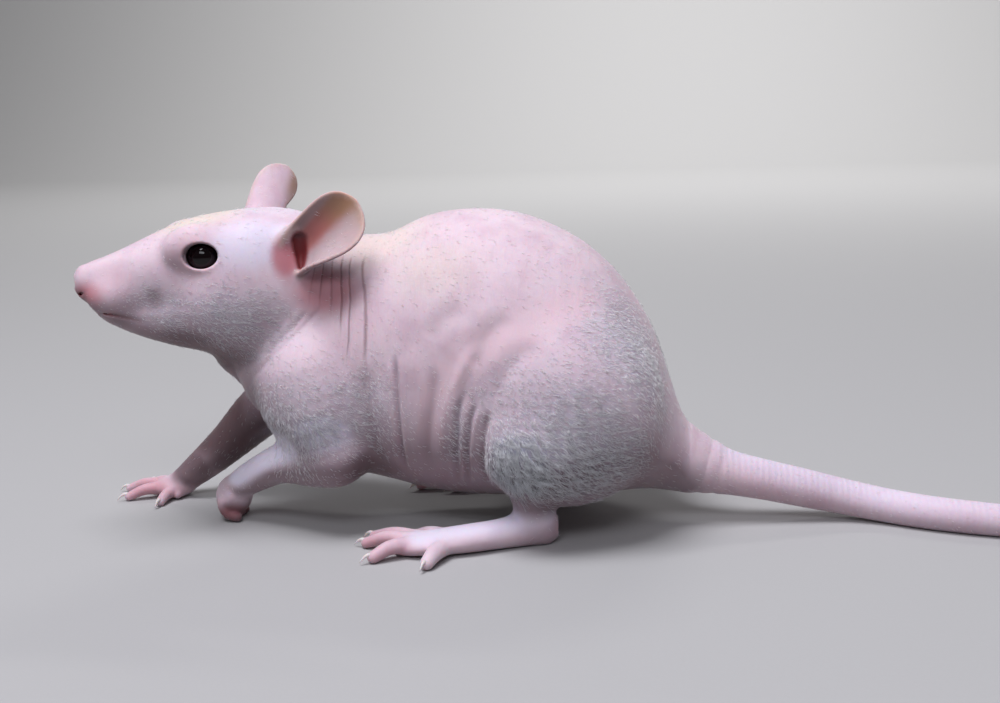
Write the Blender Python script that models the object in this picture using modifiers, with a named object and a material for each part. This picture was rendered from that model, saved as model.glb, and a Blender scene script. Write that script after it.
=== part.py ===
"""A young hairless rat at life size, standing with its head turned a little to its left.

The rat faces -X, its left side is -Y and it stands on z = 0. Sizes are written in millimetres
and become metres as each mesh is made. The body is modelled whole from closed forms that
overlap, fused into one skin, and parted by thin cuts into the pieces a person would name.
"""

import math

import bmesh
import bpy
import numpy as np
from mathutils import Matrix, Vector

MM = 0.001
GAP = 0.3

# The model's own origin, under the middle of its box, in the frame the sizes are written in
ORIGIN = (39.8, 0.0, 0.0)

# Torso: x, top, bottom, half width, sideways shift of the section
TORSO = (
    (-45.0, 32.0, 28.0, 3.5, -3.0),
    (-43.6, 36.0, 24.5, 7.5, -2.5),
    (-40.0, 43.0, 20.0, 11.0, -1.5),
    (-35.0, 48.5, 14.4, 13.0, -0.5),
    (-30.0, 51.3, 11.4, 14.5, 0.0),
    (-24.0, 53.2, 9.8, 16.0, 0.0),
    (-17.0, 54.9, 8.2, 17.4, 0.0),
    (-9.0, 58.2, 6.4, 19.2, 0.0),
    (0.0, 59.2, 5.6, 20.5, 0.0),
    (8.0, 58.2, 5.6, 20.8, 0.0),
    (15.0, 55.4, 5.9, 20.0, 0.0),
    (21.0, 51.6, 6.2, 18.6, 0.0),
    (27.0, 45.2, 6.6, 16.5, 0.0),
    (32.0, 36.4, 7.4, 13.0, 0.0),
    (35.5, 26.0, 8.6, 9.5, 0.0),
    (37.8, 19.0, 9.4, 6.0, 0.0),
    (39.2, 15.8, 11.5, 2.5, 0.0),
)
TORSO_WIDEST = 0.42
TORSO_SQUARENESS = 2.15

# Neck: centre, half width, reach up and reach down across its slanting axis
NECK = (
    (-45.0, -6.0, 48.4, 8.5, 7.5, 11.5),
    (-41.0, -4.5, 46.5, 10.5, 12.0, 17.0),
    (-35.0, -2.0, 42.5, 12.3, 14.3, 17.8),
    (-28.0, 0.0, 38.0, 14.0, 18.0, 19.3),
    (-21.0, 0.0, 34.0, 15.0, 19.5, 21.0),
)

# Head: nose tip and turn; its forms are x back from the nose, y to its left, z up
NOSE = (-70.1, -19.0, 49.3)
HEAD_TURN = math.radians(27.0)
SNOUT = (
    (-0.7, 0.7, -1.5, 0.6),
    (0.1, 2.0, -2.7, 1.7),
    (2.2, 3.1, -3.8, 2.6),
    (5.0, 4.0, -5.0, 3.6),
    (8.5, 5.3, -6.4, 4.9),
    (12.5, 7.0, -7.8, 6.1),
    (16.5, 8.6, -9.4, 7.2),
    (20.5, 9.9, -10.8, 8.4),
    (24.5, 10.6, -12.2, 9.6),
    (28.5, 10.9, -13.0, 10.6),
    (33.0, 11.1, -13.6, 11.1),
    (38.0, 10.8, -13.6, 10.9),
    (42.0, 9.6, -12.8, 9.8),
    (45.5, 6.8, -11.0, 7.6),
    (48.0, 2.5, -7.0, 4.0),
)
JAW = (
    (3.2, -4.8, -6.2, 0.8),
    (4.2, -4.6, -7.4, 2.0),
    (6.5, -4.6, -9.0, 3.3),
    (10.0, -4.2, -10.8, 4.9),
    (14.5, -3.4, -12.6, 6.5),
    (20.0, -3.2, -14.3, 8.1),
    (26.0, -4.5, -15.5, 9.4),
    (32.0, -6.0, -16.2, 9.8),
    (38.0, -7.0, -15.5, 8.8),
    (43.0, -7.0, -13.0, 5.5),
)
# Rounded forms of one side of the head: centre, radii
HEAD_SWELLINGS = (
    ("whisker pad", (6.6, 2.5, -3.2), (4.8, 2.5, 3.0)),
    ("brow", (20.8, 5.6, 4.9), (5.8, 3.5, 4.5)),
    ("cheek", (30.5, 7.2, -5.2), (11.0, 4.9, 8.6)),
    ("temple", (33.0, 5.6, 3.8), (11.0, 4.9, 5.6)),
)
NOSTRIL = (1.35, 1.55, -1.7)
NOSTRIL_RADII = (0.95, 0.55, 0.62)
MOUTH_LINE = ((10.4, 5.6, -7.8), (8.4, 4.9, -7.1), (6.0, 4.1, -6.4), (4.2, 3.0, -5.6), (2.9, 1.5, -4.9))
MOUTH_FRONT = (2.5, 0.0, -4.6)
MOUTH_DEPTH = 0.42

EYE = (22.1, 6.25, 3.45)
EYE_LOOK = (-0.22, 0.95, 0.16)
EYE_RADIUS = 3.1
LID_RING = 3.1
LID_THICK = 0.62
LID_FORWARD = 1.75

# Ears: root, direction of the length, direction the cup opens, bend, share of the width in front,
# and of the width behind at the root, in the middle and at the tip
EAR_LENGTH = 18.3
EAR_THICK = 0.8
EAR_SINK = 1.2
EAR_BASE_DEPTH = 1.5
EAR_MIDDLE = 0.55
EAR_LEFT = ((37.0, 10.1, 2.1), (0.60, 0.42, 0.68), (-0.52, 0.85, 0.0), 0.8, 1.0, (1.0, 1.0, 1.0))
EAR_RIGHT = ((35.1, -9.7, 4.2), (0.33, -0.56, 0.78), (-0.30, -0.94, -0.15), -0.5, 1.15, (0.45, 0.26, 0.72))
# The swelling that an ear grows from: how far below and inside of the root, and its radii
EAR_SWELLING = (-2.2, -2.6, -0.8)
EAR_SWELLING_RADII = (4.6, 4.6, 5.0)
# Along the ear: place, width of the flattened sheet in front and behind, radius of its curl
EAR_SHEET = (
    (0.00, 4.6, 4.2, 2.9),
    (0.12, 4.8, 5.8, 3.3),
    (0.28, 4.7, 7.4, 4.2),
    (0.48, 4.4, 8.5, 5.6),
    (0.66, 4.1, 8.6, 7.0),
    (0.82, 3.3, 7.3, 8.0),
    (0.93, 2.2, 5.1, 8.6),
    (0.985, 1.1, 2.5, 8.9),
    (1.00, 0.25, 0.5, 9.0),
)

# Limbs: centre and radius down each
UPPER_ARM_LEFT = ((-31.0, -10.0, 30.0, 8.0), (-28.5, -11.8, 22.5, 7.0), (-26.5, -12.2, 16.5, 5.6))
FOREARM_LEFT = (
    (-26.0, -12.2, 15.0, 5.2),
    (-30.0, -11.6, 14.2, 4.9),
    (-37.0, -9.6, 12.9, 3.8),
    (-43.0, -6.9, 9.9, 3.25),
    (-46.2, -5.4, 8.0, 3.0),
    (-48.5, -4.4, 6.2, 2.8),
)
UPPER_ARM_RIGHT = ((-30.0, 9.5, 30.0, 8.0), (-35.0, 12.5, 26.0, 7.2), (-40.0, 13.2, 23.4, 6.3))
FOREARM_RIGHT = (
    (-39.5, 13.2, 23.6, 6.2),
    (-48.6, 12.3, 17.4, 5.3),
    (-55.4, 11.2, 11.2, 4.1),
    (-60.6, 10.3, 6.9, 3.4),
    (-64.2, 9.8, 4.2, 2.8),
    (-67.0, 9.6, 2.6, 2.1),
)
THIGH = ((16.2, -12.0, 24.2), (17.6, 11.8, 17.8))
KNEE = ((12.8, -18.2, 18.6), (9.5, 6.6, 8.6))
SHANK = ((14.0, -15.0, 20.0, 7.0), (11.6, -16.6, 14.0, 5.0), (11.3, -16.2, 9.0, 3.9), (11.5, -15.6, 5.4, 3.6))
SHOULDER = ((-30.5, -9.6, 27.5), (9.5, 8.4, 11.5))
RIGHT_HIND_SHIFT = 2.0

# Hind foot, left: centre, half width, reach up, reach down
SOLE = (
    (15.3, -13.4, 2.6, 1.4, 1.5, 1.6),
    (13.9, -14.1, 3.0, 2.5, 3.0, 3.0),
    (10.5, -15.7, 3.2, 2.9, 3.4, 3.2),
    (6.0, -17.5, 2.8, 2.9, 2.6, 2.8),
    (0.0, -19.8, 2.5, 3.5, 2.3, 2.5),
    (-6.0, -21.3, 2.1, 3.9, 2.0, 2.1),
    (-11.0, -21.8, 1.8, 3.6, 1.5, 1.8),
    (-13.4, -21.8, 1.5, 2.4, 1.0, 1.5),
)
HIND_TOES = (
    ((-3.5, -18.6, 2.2, 1.3), (-8.2, -15.9, 2.0, 1.1), (-11.0, -14.5, 1.0, 0.9)),
    ((-9.5, -19.6, 2.1, 1.5), (-14.2, -17.4, 2.2, 1.15), (-18.4, -15.7, 1.0, 0.95)),
    ((-10.0, -21.3, 2.2, 1.5), (-15.0, -20.4, 2.4, 1.2), (-18.9, -19.5, 1.0, 1.0)),
    ((-10.0, -23.2, 2.1, 1.5), (-13.4, -25.3, 2.2, 1.3), (-15.8, -27.0, 1.1, 1.1)),
    ((-3.8, -23.2, 2.0, 1.6), (-5.0, -27.0, 1.9, 1.45), (-5.7, -29.6, 1.2, 1.2)),
)
# Forefeet
PALM_RIGHT = ((-67.4, 9.7, 2.0), (4.3, 3.7, 2.1))
FINGERS_RIGHT = (
    ((-66.6, 8.0, 1.8, 1.3), (-67.5, 4.6, 1.5, 1.05), (-67.6, 2.4, 0.9, 0.9)),
    ((-68.9, 8.6, 2.0, 1.4), (-73.0, 6.7, 2.0, 1.1), (-75.7, 5.6, 0.9, 0.9)),
    ((-69.5, 10.2, 2.1, 1.4), (-74.6, 10.9, 2.1, 1.1), (-77.9, 11.2, 0.9, 0.9)),
    ((-68.5, 11.8, 2.0, 1.3), (-72.2, 14.6, 1.7, 1.05), (-74.4, 16.2, 0.9, 0.9)),
)
THUMB_RIGHT = ((-65.3, 8.4, 1.5, 1.0), (-65.6, 6.6, 1.1, 0.75))
PALM_LEFT = ((-49.3, -4.0, 4.6), (3.5, 3.4, 3.7))
# The curled fingers of the left hand: across, and how far each sits ahead
FINGERS_LEFT = ((-1.5, 0.1), (-3.2, -0.25), (-4.9, -0.2), (-6.5, 0.3))
FINGER_CURL = ((-49.3, 5.2, 1.45), (-50.9, 3.5, 1.2), (-50.2, 1.7, 1.05), (-48.4, 1.0, 0.95))
CLAW_LENGTH = 1.9
CLAW_RADIUS = 0.42

# Tail: centre and radius from the rump to the tip
TAIL = (
    (33.0, 0.0, 13.5, 6.5),
    (38.0, 0.0, 11.6, 6.1),
    (41.0, 0.0, 10.7, 5.3),
    (44.5, 0.0, 9.6, 4.4),
    (51.5, 0.5, 8.0, 3.8),
    (59.0, 1.3, 6.2, 3.6),
    (67.0, 1.9, 4.3, 3.3),
    (74.0, 0.6, 3.2, 3.15),
    (81.0, -2.4, 2.95, 3.05),
    (89.0, -5.0, 2.85, 2.95),
    (98.0, -6.8, 2.7, 2.8),
    (109.0, -7.4, 2.45, 2.55),
    (121.0, -5.8, 2.15, 2.25),
    (133.0, -2.2, 1.85, 1.95),
    (144.0, 2.8, 1.5, 1.6),
    (153.0, 8.2, 1.1, 1.2),
    (159.0, 12.6, 0.75, 0.85),
)
TAIL_CUTS = (42.0, 56.0, 86.0, 118.0)

# Where the skin is parted: a point and a direction for a flat cut, or an egg round a limb
WRIST_LEFT = ((-45.8, -5.5, 8.2), (-0.74, 0.3, -0.6))
WRIST_RIGHT = ((-62.6, 10.0, 5.4), (-0.8, -0.1, -0.6))
ANKLE = ((11.0, -15.9, 7.6), (0.1, 0.0, -1.0))
HEAD_CUT = ((35.5, 0.0, -2.5), (-0.863, 0.0, 0.506))
HEAD_BLOCK = ((48.0, 48.0), 60.0)
NECK_CUT = ((-33.7, 0.0, 40.0), (-0.758, 0.0, 0.652))
NECK_BLOCK = ((44.0, 44.0), 40.0)
TAIL_BLOCK = ((30.0, 30.0), 40.0)
FORELEG_LEFT_EGG = ((-33.0, -13.0, 12.5), (20.5, 10.0, 9.0), (-1.0, 0.2, -0.1))
FORELEG_RIGHT_EGG = ((-52.0, 12.5, 15.5), (21.0, 10.0, 9.5), (-0.72, -0.1, -0.66))
HINDLEG_EGG = ((16.5, -21.5, 20.5), (20.5, 13.5, 19.5))

# How finely the skin is fused
BODY_VOXEL = 0.62
FOOT_VOXEL = 0.36
BODY_SOFTENING = 8
FOOT_SOFTENING = 2
BODY_FACES = 7000
FOOT_FACES = 850

SKIN = (0.72, 0.52, 0.55)
EAR_SKIN = (0.63, 0.35, 0.33)
FOOT_SKIN = (0.76, 0.47, 0.48)
TAIL_SKIN = (0.71, 0.51, 0.53)
EYE_BLACK = (0.012, 0.004, 0.004)


def collection(name):
    made = bpy.data.collections.new(name)
    bpy.context.scene.collection.children.link(made)
    return made


def material(name, colour, roughness):
    made = bpy.data.materials.new(name)
    made.use_nodes = True
    shader = made.node_tree.nodes["Principled BSDF"]
    shader.inputs["Base Color"].default_value = (*colour, 1.0)
    shader.inputs["Roughness"].default_value = roughness
    shader.inputs["Metallic"].default_value = 0.0
    made.diffuse_color = (*colour, 1.0)
    return made


def mesh_object(name, into, points, faces):
    """An object with these points, in millimetres, and its faces turned outward."""
    mesh = bpy.data.meshes.new(name)
    mesh.from_pydata((np.asarray(points, float) * MM).tolist(), [], faces)
    work = bmesh.new()
    work.from_mesh(mesh)
    bmesh.ops.recalc_face_normals(work, faces=work.faces)
    work.to_mesh(mesh)
    work.free()
    made = bpy.data.objects.new(name, mesh)
    into.objects.link(made)
    return made


def smooth(at, rows):
    """Rows at the places at, on a smooth curve through the known rows, whose first column is the place."""
    rows = np.asarray(rows, float)
    place, known = rows[:, 0], rows[:, 1:]
    step = np.diff(place)
    slope = np.diff(known, axis=0) / step[:, None]
    weight = (step[1:] / (step[1:] + step[:-1]))[:, None]
    inner = slope[:-1] * weight + slope[1:] * (1.0 - weight)
    tangent = np.vstack([slope[:1], inner, slope[-1:]])
    span = np.clip(np.searchsorted(place, at, side="right") - 1, 0, len(step) - 1)
    width = step[span][:, None]
    part = (np.asarray(at)[:, None] - place[span][:, None]) / width
    rise = part * part * (3.0 - 2.0 * part)
    lead = part * (1.0 - part) ** 2
    trail = part * part * (part - 1.0)
    return (
        known[span] * (1.0 - rise)
        + known[span + 1] * rise
        + width * (tangent[span] * lead + tangent[span + 1] * trail)
    )


def along(rows, spacing):
    """Rows of a path resampled about every spacing millimetres of its length."""
    rows = np.asarray(rows, float)
    length = np.concatenate([[0.0], np.cumsum(np.linalg.norm(np.diff(rows[:, :3], axis=0), axis=1))])
    at = np.linspace(0.0, length[-1], max(3, int(length[-1] / spacing) + 1))
    return smooth(at, np.column_stack([length, rows]))


def section(centre, side, up, half, above, below, count, squareness=2.0):
    """One closed ring of points, with its own reach above and below its widest line."""
    turn = np.linspace(0.0, 2.0 * math.pi, count, endpoint=False)
    across = np.sign(np.cos(turn)) * np.abs(np.cos(turn)) ** (2.0 / squareness)
    upward = np.sign(np.sin(turn)) * np.abs(np.sin(turn)) ** (2.0 / squareness)
    reach = np.where(upward > 0.0, above, below)
    return np.asarray(centre) + np.outer(across * half, side) + np.outer(upward * reach, up)


def loft(name, into, rings):
    """A closed surface through rings of equal count, with flat ends."""
    count = len(rings[0])
    faces = []
    for low in range(len(rings) - 1):
        for k in range(count):
            after = (k + 1) % count
            high = (low + 1) * count
            faces.append((low * count + k, low * count + after, high + after, high + k))
    faces.append(tuple(range(count)))
    faces.append(tuple(range((len(rings) - 1) * count, len(rings) * count)))
    return mesh_object(name, into, np.vstack(rings), faces)


def turned(point, origin, turn):
    """A point of the head's frame in the body's frame."""
    back = np.array([math.cos(turn), math.sin(turn), 0.0])
    left = np.array([math.sin(turn), -math.cos(turn), 0.0])
    up = np.array([0.0, 0.0, 1.0])
    return np.asarray(origin) + point[0] * back + point[1] * left + point[2] * up


def in_head(point):
    return turned(point, NOSE, HEAD_TURN)


def head_direction(direction):
    vector = turned(direction, (0.0, 0.0, 0.0), HEAD_TURN)
    return vector / np.linalg.norm(vector)


def blob(name, into, centre, radii, axes=np.eye(3), detail=4):
    """An ellipsoid whose radii lie along the columns of axes."""
    work = bmesh.new()
    bmesh.ops.create_icosphere(work, subdivisions=detail, radius=1.0)
    points = np.array([vertex.co for vertex in work.verts])
    faces = [tuple(vertex.index for vertex in face.verts) for face in work.faces]
    work.free()
    placed = np.asarray(centre) + (points * np.asarray(radii)) @ np.asarray(axes).T
    return mesh_object(name, into, placed, faces)


def path_frames(centres):
    """The sideways and upward directions across a path at each of its points."""
    ahead = np.gradient(centres, axis=0)
    ahead /= np.linalg.norm(ahead, axis=1)[:, None]
    side = np.cross(ahead, (0.0, 0.0, 1.0))
    side /= np.maximum(np.linalg.norm(side, axis=1), 1e-9)[:, None]
    return side, np.cross(side, ahead), ahead


def limb(name, into, rows, count=16, spacing=0.8):
    """A round limb through centres with radii, with rounded ends."""
    path = along(rows, spacing)
    centres, radii = path[:, :3], path[:, 3]
    side, up, ahead = path_frames(centres)
    rings = []
    for bulge in np.linspace(math.pi / 2.2, 0.25, 5):
        centre = centres[0] - ahead[0] * radii[0] * math.sin(bulge)
        rings.append(section(centre, side[0], up[0], *[radii[0] * math.cos(bulge)] * 3, count))
    for k in range(len(path)):
        rings.append(section(centres[k], side[k], up[k], *[radii[k]] * 3, count))
    for bulge in np.linspace(0.25, math.pi / 2.2, 5):
        centre = centres[-1] + ahead[-1] * radii[-1] * math.sin(bulge)
        rings.append(section(centre, side[-1], up[-1], *[radii[-1] * math.cos(bulge)] * 3, count))
    return loft(name, into, rings)


def flat_limb(name, into, rows, spacing=1.0):
    """A limb whose rows hold a centre, half width, reach up and reach down."""
    path = along(rows, spacing)
    side, up, _ = path_frames(path[:, :3])
    rings = [section(path[k, :3], side[k], up[k], *path[k, 3:6], 20) for k in range(len(path))]
    return loft(name, into, rings)


def mirrored(rows, shift=0.0):
    return tuple((row[0] + shift, -row[1], *row[2:]) for row in rows)


def torso_form(into):
    rings = []
    for x in np.arange(TORSO[0][0], TORSO[-1][0], 1.2):
        top, bottom, half, shift = smooth([x], TORSO)[0]
        widest = bottom + TORSO_WIDEST * (top - bottom)
        above, below = top - widest, widest - bottom
        centre = (x, shift, widest)
        rings.append(section(centre, (0, 1, 0), (0, 0, 1), half, above, below, 40, TORSO_SQUARENESS))
    return loft("torso form", into, rings)


def head_loft(name, into, rows, widest, squareness):
    rings = []
    side, up = head_direction((0, 1, 0)), head_direction((0, 0, 1))
    for x in np.arange(rows[0][0], rows[-1][0], 0.8):
        top, bottom, half = smooth([x], rows)[0]
        middle = bottom + widest * (top - bottom)
        above, below = top - middle, middle - bottom
        rings.append(section(in_head((x, 0, middle)), side, up, half, above, below, 32, squareness))
    return loft(name, into, rings)


def ear_ways(shape, side):
    """The directions along an ear, out of its cup, and toward its front edge."""
    ahead = head_direction(shape[1])
    opening = head_direction(shape[2])
    opening -= ahead * (opening @ ahead)
    opening /= np.linalg.norm(opening)
    return ahead, opening, np.cross(opening, ahead) * side


def head_forms(into):
    head_loft("snout form", into, SNOUT, 0.45, 2.2)
    head_loft("jaw form", into, JAW, 0.6, 2.2)
    for shape, side in ((EAR_LEFT, 1), (EAR_RIGHT, -1)):
        ways = np.array(ear_ways(shape, side))
        blob("ear swelling", into, in_head(shape[0]) + EAR_SWELLING @ ways, EAR_SWELLING_RADII)
    axes = np.column_stack([head_direction(axis) for axis in np.eye(3)])
    for name, centre, radii in HEAD_SWELLINGS:
        for side in (1, -1):
            blob(name, into, in_head((centre[0], side * centre[1], centre[2])), radii, axes)


def body_forms(into):
    torso_form(into)
    flat_limb("neck form", into, NECK)
    head_forms(into)
    for side in (1, -1):
        for name, (centre, radii) in (("thigh", THIGH), ("knee", KNEE), ("shoulder", SHOULDER)):
            blob(name, into, (centre[0], side * centre[1], centre[2]), radii)
    limb("shank left", into, SHANK)
    limb("shank right", into, mirrored(SHANK, RIGHT_HIND_SHIFT))
    for name, rows in (
        ("upper arm left", UPPER_ARM_LEFT),
        ("forearm left", FOREARM_LEFT),
        ("upper arm right", UPPER_ARM_RIGHT),
        ("forearm right", FOREARM_RIGHT),
    ):
        limb(name, into, rows)
    limb("tail root", into, TAIL[:7])


def applied(obj):
    """The object's mesh as its modifiers leave it, with the modifiers gone."""
    graph = bpy.context.evaluated_depsgraph_get()
    mesh = bpy.data.meshes.new_from_object(obj.evaluated_get(graph))
    obj.modifiers.clear()
    old = obj.data
    obj.data = mesh
    bpy.data.meshes.remove(old)
    return obj


def largest_surface(obj):
    """Keeps the biggest closed surface of an object's mesh."""
    work = bmesh.new()
    work.from_mesh(obj.data)
    bmesh.ops.remove_doubles(work, verts=work.verts, dist=2e-6)
    left = set(work.verts)
    pieces = []
    while left:
        piece, edge = set(), [left.pop()]
        while edge:
            vertex = edge.pop()
            piece.add(vertex)
            for link in vertex.link_edges:
                other = link.other_vert(vertex)
                if other in left:
                    left.discard(other)
                    edge.append(other)
        pieces.append(piece)
    pieces.sort(key=len)
    for piece in pieces[:-1]:
        bmesh.ops.delete(work, geom=list(piece), context="VERTS")
    bmesh.ops.triangulate(work, faces=work.faces)
    work.to_mesh(obj.data)
    work.free()
    return obj


def fused(name, into, forms, voxel, rounds, faces):
    """One skin over all the forms of a collection: remeshed, smoothed and thinned to a face count."""
    work = bmesh.new()
    for form in list(forms.objects):
        work.from_mesh(form.data)
        bpy.data.objects.remove(form)
    mesh = bpy.data.meshes.new(name)
    work.to_mesh(mesh)
    work.free()
    bpy.data.collections.remove(forms)
    skin = bpy.data.objects.new(name, mesh)
    into.objects.link(skin)
    remesh = skin.modifiers.new("Remesh", "REMESH")
    remesh.mode = "VOXEL"
    remesh.voxel_size = voxel * MM
    softened = skin.modifiers.new("Smooth", "SMOOTH")
    softened.factor = 0.5
    softened.iterations = rounds
    applied(skin)
    thin = skin.modifiers.new("Decimate", "DECIMATE")
    thin.use_collapse_triangulate = True
    thin.ratio = faces / (2.0 * len(skin.data.polygons))
    applied(skin)
    return largest_surface(skin)


def boolean(obj, other, operation):
    """Applies one Boolean with another object and keeps the biggest piece."""
    step = obj.modifiers.new(operation.title(), "BOOLEAN")
    step.operation = operation
    step.solver = "MANIFOLD"
    step.object = other
    applied(obj)
    return largest_surface(obj)


def block(name, into, point, normal, size, depth):
    """A box that starts at a point and runs depth millimetres along a normal."""
    turn = Vector(normal).to_track_quat("Z", "Y").to_matrix()
    work = bmesh.new()
    bmesh.ops.create_cube(work, size=1.0)
    bmesh.ops.scale(work, vec=(size[0], size[1], depth), verts=work.verts)
    bmesh.ops.translate(work, vec=(0, 0, depth / 2), verts=work.verts)
    bmesh.ops.rotate(work, matrix=turn, verts=work.verts)
    bmesh.ops.translate(work, vec=point, verts=work.verts)
    points = [tuple(vertex.co) for vertex in work.verts]
    faces = [tuple(vertex.index for vertex in face.verts) for face in work.faces]
    work.free()
    cutter = mesh_object(name, into, points, faces)
    cutter.hide_render = True
    cutter.display_type = "WIRE"
    return cutter


def trim(obj, tools, point, normal, size=14.0, depth=30.0):
    """Cuts away what lies past a plane, within a box."""
    unit = np.asarray(normal, float) / np.linalg.norm(normal)
    cutter = block("trim", tools, tuple(point), tuple(unit), (size, size), depth)
    boolean(obj, cutter, "DIFFERENCE")
    bpy.data.objects.remove(cutter)
    return obj


def copy_of(obj, name, into):
    made = bpy.data.objects.new(name, obj.data.copy())
    into.objects.link(made)
    return made


def part_off(rest, name, into, tools, make_region):
    """Splits a piece off the rest where a region covers it, with a thin gap all along the cut."""
    piece = copy_of(rest, name, into)
    region = make_region(tools, 0.0)
    boolean(piece, region, "INTERSECT")
    bpy.data.objects.remove(region)
    wider = make_region(tools, GAP)
    boolean(rest, wider, "DIFFERENCE")
    bpy.data.objects.remove(wider)
    return piece


def box_region(point, normal, size, depth):
    """A region in front of a plane; grown, it starts a gap further back and is wider all round."""
    unit = np.asarray(normal, float) / np.linalg.norm(normal)

    def make(tools, grow):
        start = np.asarray(point) - unit * grow
        wide = (size[0] + 2 * grow, size[1] + 2 * grow)
        return block("region", tools, tuple(start), tuple(unit), wide, depth)

    return make


def egg_region(centre, radii, ahead=(1.0, 0.0, 0.0)):
    """An ellipsoid region with its first radius along a direction."""
    first = np.asarray(ahead, float) / np.linalg.norm(ahead)
    second = np.cross((0.0, 0.0, 1.0), first)
    second /= np.linalg.norm(second)
    axes = np.column_stack([first, second, np.cross(first, second)])

    def make(tools, grow):
        cutter = blob("region", tools, centre, np.asarray(radii) + grow, axes, 3)
        cutter.hide_render = True
        cutter.display_type = "WIRE"
        return cutter

    return make


def groove(obj, tools, points, radius):
    """Presses a round groove into an object along a line."""
    cutter = limb("groove", tools, [(*point, radius) for point in points], 8, 0.8)
    boolean(obj, cutter, "DIFFERENCE")
    bpy.data.objects.remove(cutter)


def lid_ring(head, tools, side):
    """Raises the rim of the lids round one eye."""
    look = head_direction((EYE_LOOK[0], side * EYE_LOOK[1], EYE_LOOK[2]))
    centre = in_head((EYE[0], side * EYE[1], EYE[2])) + look * LID_FORWARD
    first = np.cross(look, (0.0, 0.0, 1.0))
    first /= np.linalg.norm(first)
    second = np.cross(first, look)
    rings = []
    for turn in np.linspace(0.0, 2.0 * math.pi, 24, endpoint=False):
        out = first * math.cos(turn) * 1.06 + second * math.sin(turn) * 0.96
        rings.append(section(centre + out * LID_RING, out / np.linalg.norm(out), look, *[LID_THICK] * 3, 8))
    points = np.vstack(rings)
    faces = []
    for k in range(24):
        for j in range(8):
            near, far = k * 8, (k + 1) % 24 * 8
            faces.append((near + j, near + (j + 1) % 8, far + (j + 1) % 8, far + j))
    ring = mesh_object("lids", tools, points, faces)
    boolean(head, ring, "UNION")
    bpy.data.objects.remove(ring)


def ball(name, into, centre, radius, detail):
    work = bmesh.new()
    bmesh.ops.create_icosphere(work, subdivisions=detail, radius=radius)
    points = np.asarray(centre) + np.array([vertex.co for vertex in work.verts])
    faces = [tuple(vertex.index for vertex in face.verts) for face in work.faces]
    work.free()
    return mesh_object(name, into, points, faces)


def finish_head(head, parts, tools):
    """Cuts the mouth, nostrils and sockets, raises the lids, and sets the eyes."""
    both = [*MOUTH_LINE, MOUTH_FRONT, *[(x, -y, z) for x, y, z in reversed(MOUTH_LINE)]]
    groove(head, tools, [in_head(point) for point in both], MOUTH_DEPTH)
    axes = np.column_stack([head_direction(axis) for axis in np.eye(3)])
    eyes = []
    for side, name in ((1, "eye_left"), (-1, "eye_right")):
        nostril = in_head((NOSTRIL[0], side * NOSTRIL[1], NOSTRIL[2]))
        pit = blob("nostril", tools, nostril, NOSTRIL_RADII, axes, 2)
        boolean(head, pit, "DIFFERENCE")
        bpy.data.objects.remove(pit)
        lid_ring(head, tools, side)
        centre = in_head((EYE[0], side * EYE[1], EYE[2]))
        socket = ball("socket", tools, centre, EYE_RADIUS + GAP, 3)
        boolean(head, socket, "DIFFERENCE")
        bpy.data.objects.remove(socket)
        eyes.append(ball(name, parts, centre, EYE_RADIUS, 3))
    return eyes


def ear_grid(shape, side, depth):
    """Points of the ear's curled sheet, shifted by a share of its thickness, row by row to the tip."""
    root, _, _, bend, front_share, back_shares = shape
    ahead, opening, forward = ear_ways(shape, side)
    places = np.concatenate([np.linspace(0.0, 0.9, 10), [0.955, 0.985, 1.0]])
    grid = []
    for place, (front, back, curl) in zip(places, smooth(places, EAR_SHEET)):
        back_share = np.interp(place, (0.0, EAR_MIDDLE, 1.0), back_shares)
        angle = np.linspace(-back * back_share, front * front_share, 12) / curl
        radius = curl + depth * EAR_THICK * (1.0 - 0.35 * place)
        middle = in_head(root) + ahead * (place * EAR_LENGTH - EAR_SINK)
        middle = middle + opening * (curl + bend * place * place - EAR_BASE_DEPTH)
        across = np.outer(radius * np.sin(angle), forward)
        grid.append(middle + across - np.outer(radius * np.cos(angle), opening))
    return np.array(grid)


def ear(name, parts, tools, neighbours, shape, side):
    """One ear as a sheet with an inner and an outer face, cut clear of what it grows from."""
    layers = [ear_grid(shape, side, depth) for depth in (-0.5, 0.5)]
    long, wide = layers[0].shape[:2]
    size = long * wide
    faces = []
    for k in range(long - 1):
        for j in range(wide - 1):
            a = k * wide + j
            faces.append((a, a + 1, a + wide + 1))
            faces.append((a, a + wide + 1, a + wide))
            faces.append((size + a, size + a + wide + 1, size + a + 1))
            faces.append((size + a, size + a + wide, size + a + wide + 1))
    rim = [k * wide for k in range(long)]
    rim += [(long - 1) * wide + j for j in range(1, wide)]
    rim += [k * wide + wide - 1 for k in range(long - 2, -1, -1)]
    rim += list(range(wide - 2, 0, -1))
    for a, b in zip(rim, rim[1:] + rim[:1]):
        faces.append((a, b, size + b))
        faces.append((a, size + b, size + a))
    sheet = mesh_object(name, parts, np.vstack([layer.reshape(-1, 3) for layer in layers]), faces)
    for neighbour in neighbours:
        grown = copy_of(neighbour, "grown", tools)
        swell = grown.modifiers.new("Displace", "DISPLACE")
        swell.strength = GAP * MM
        swell.mid_level = 0.0
        applied(grown)
        boolean(sheet, grown, "DIFFERENCE")
        bpy.data.objects.remove(grown)
    return sheet


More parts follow.
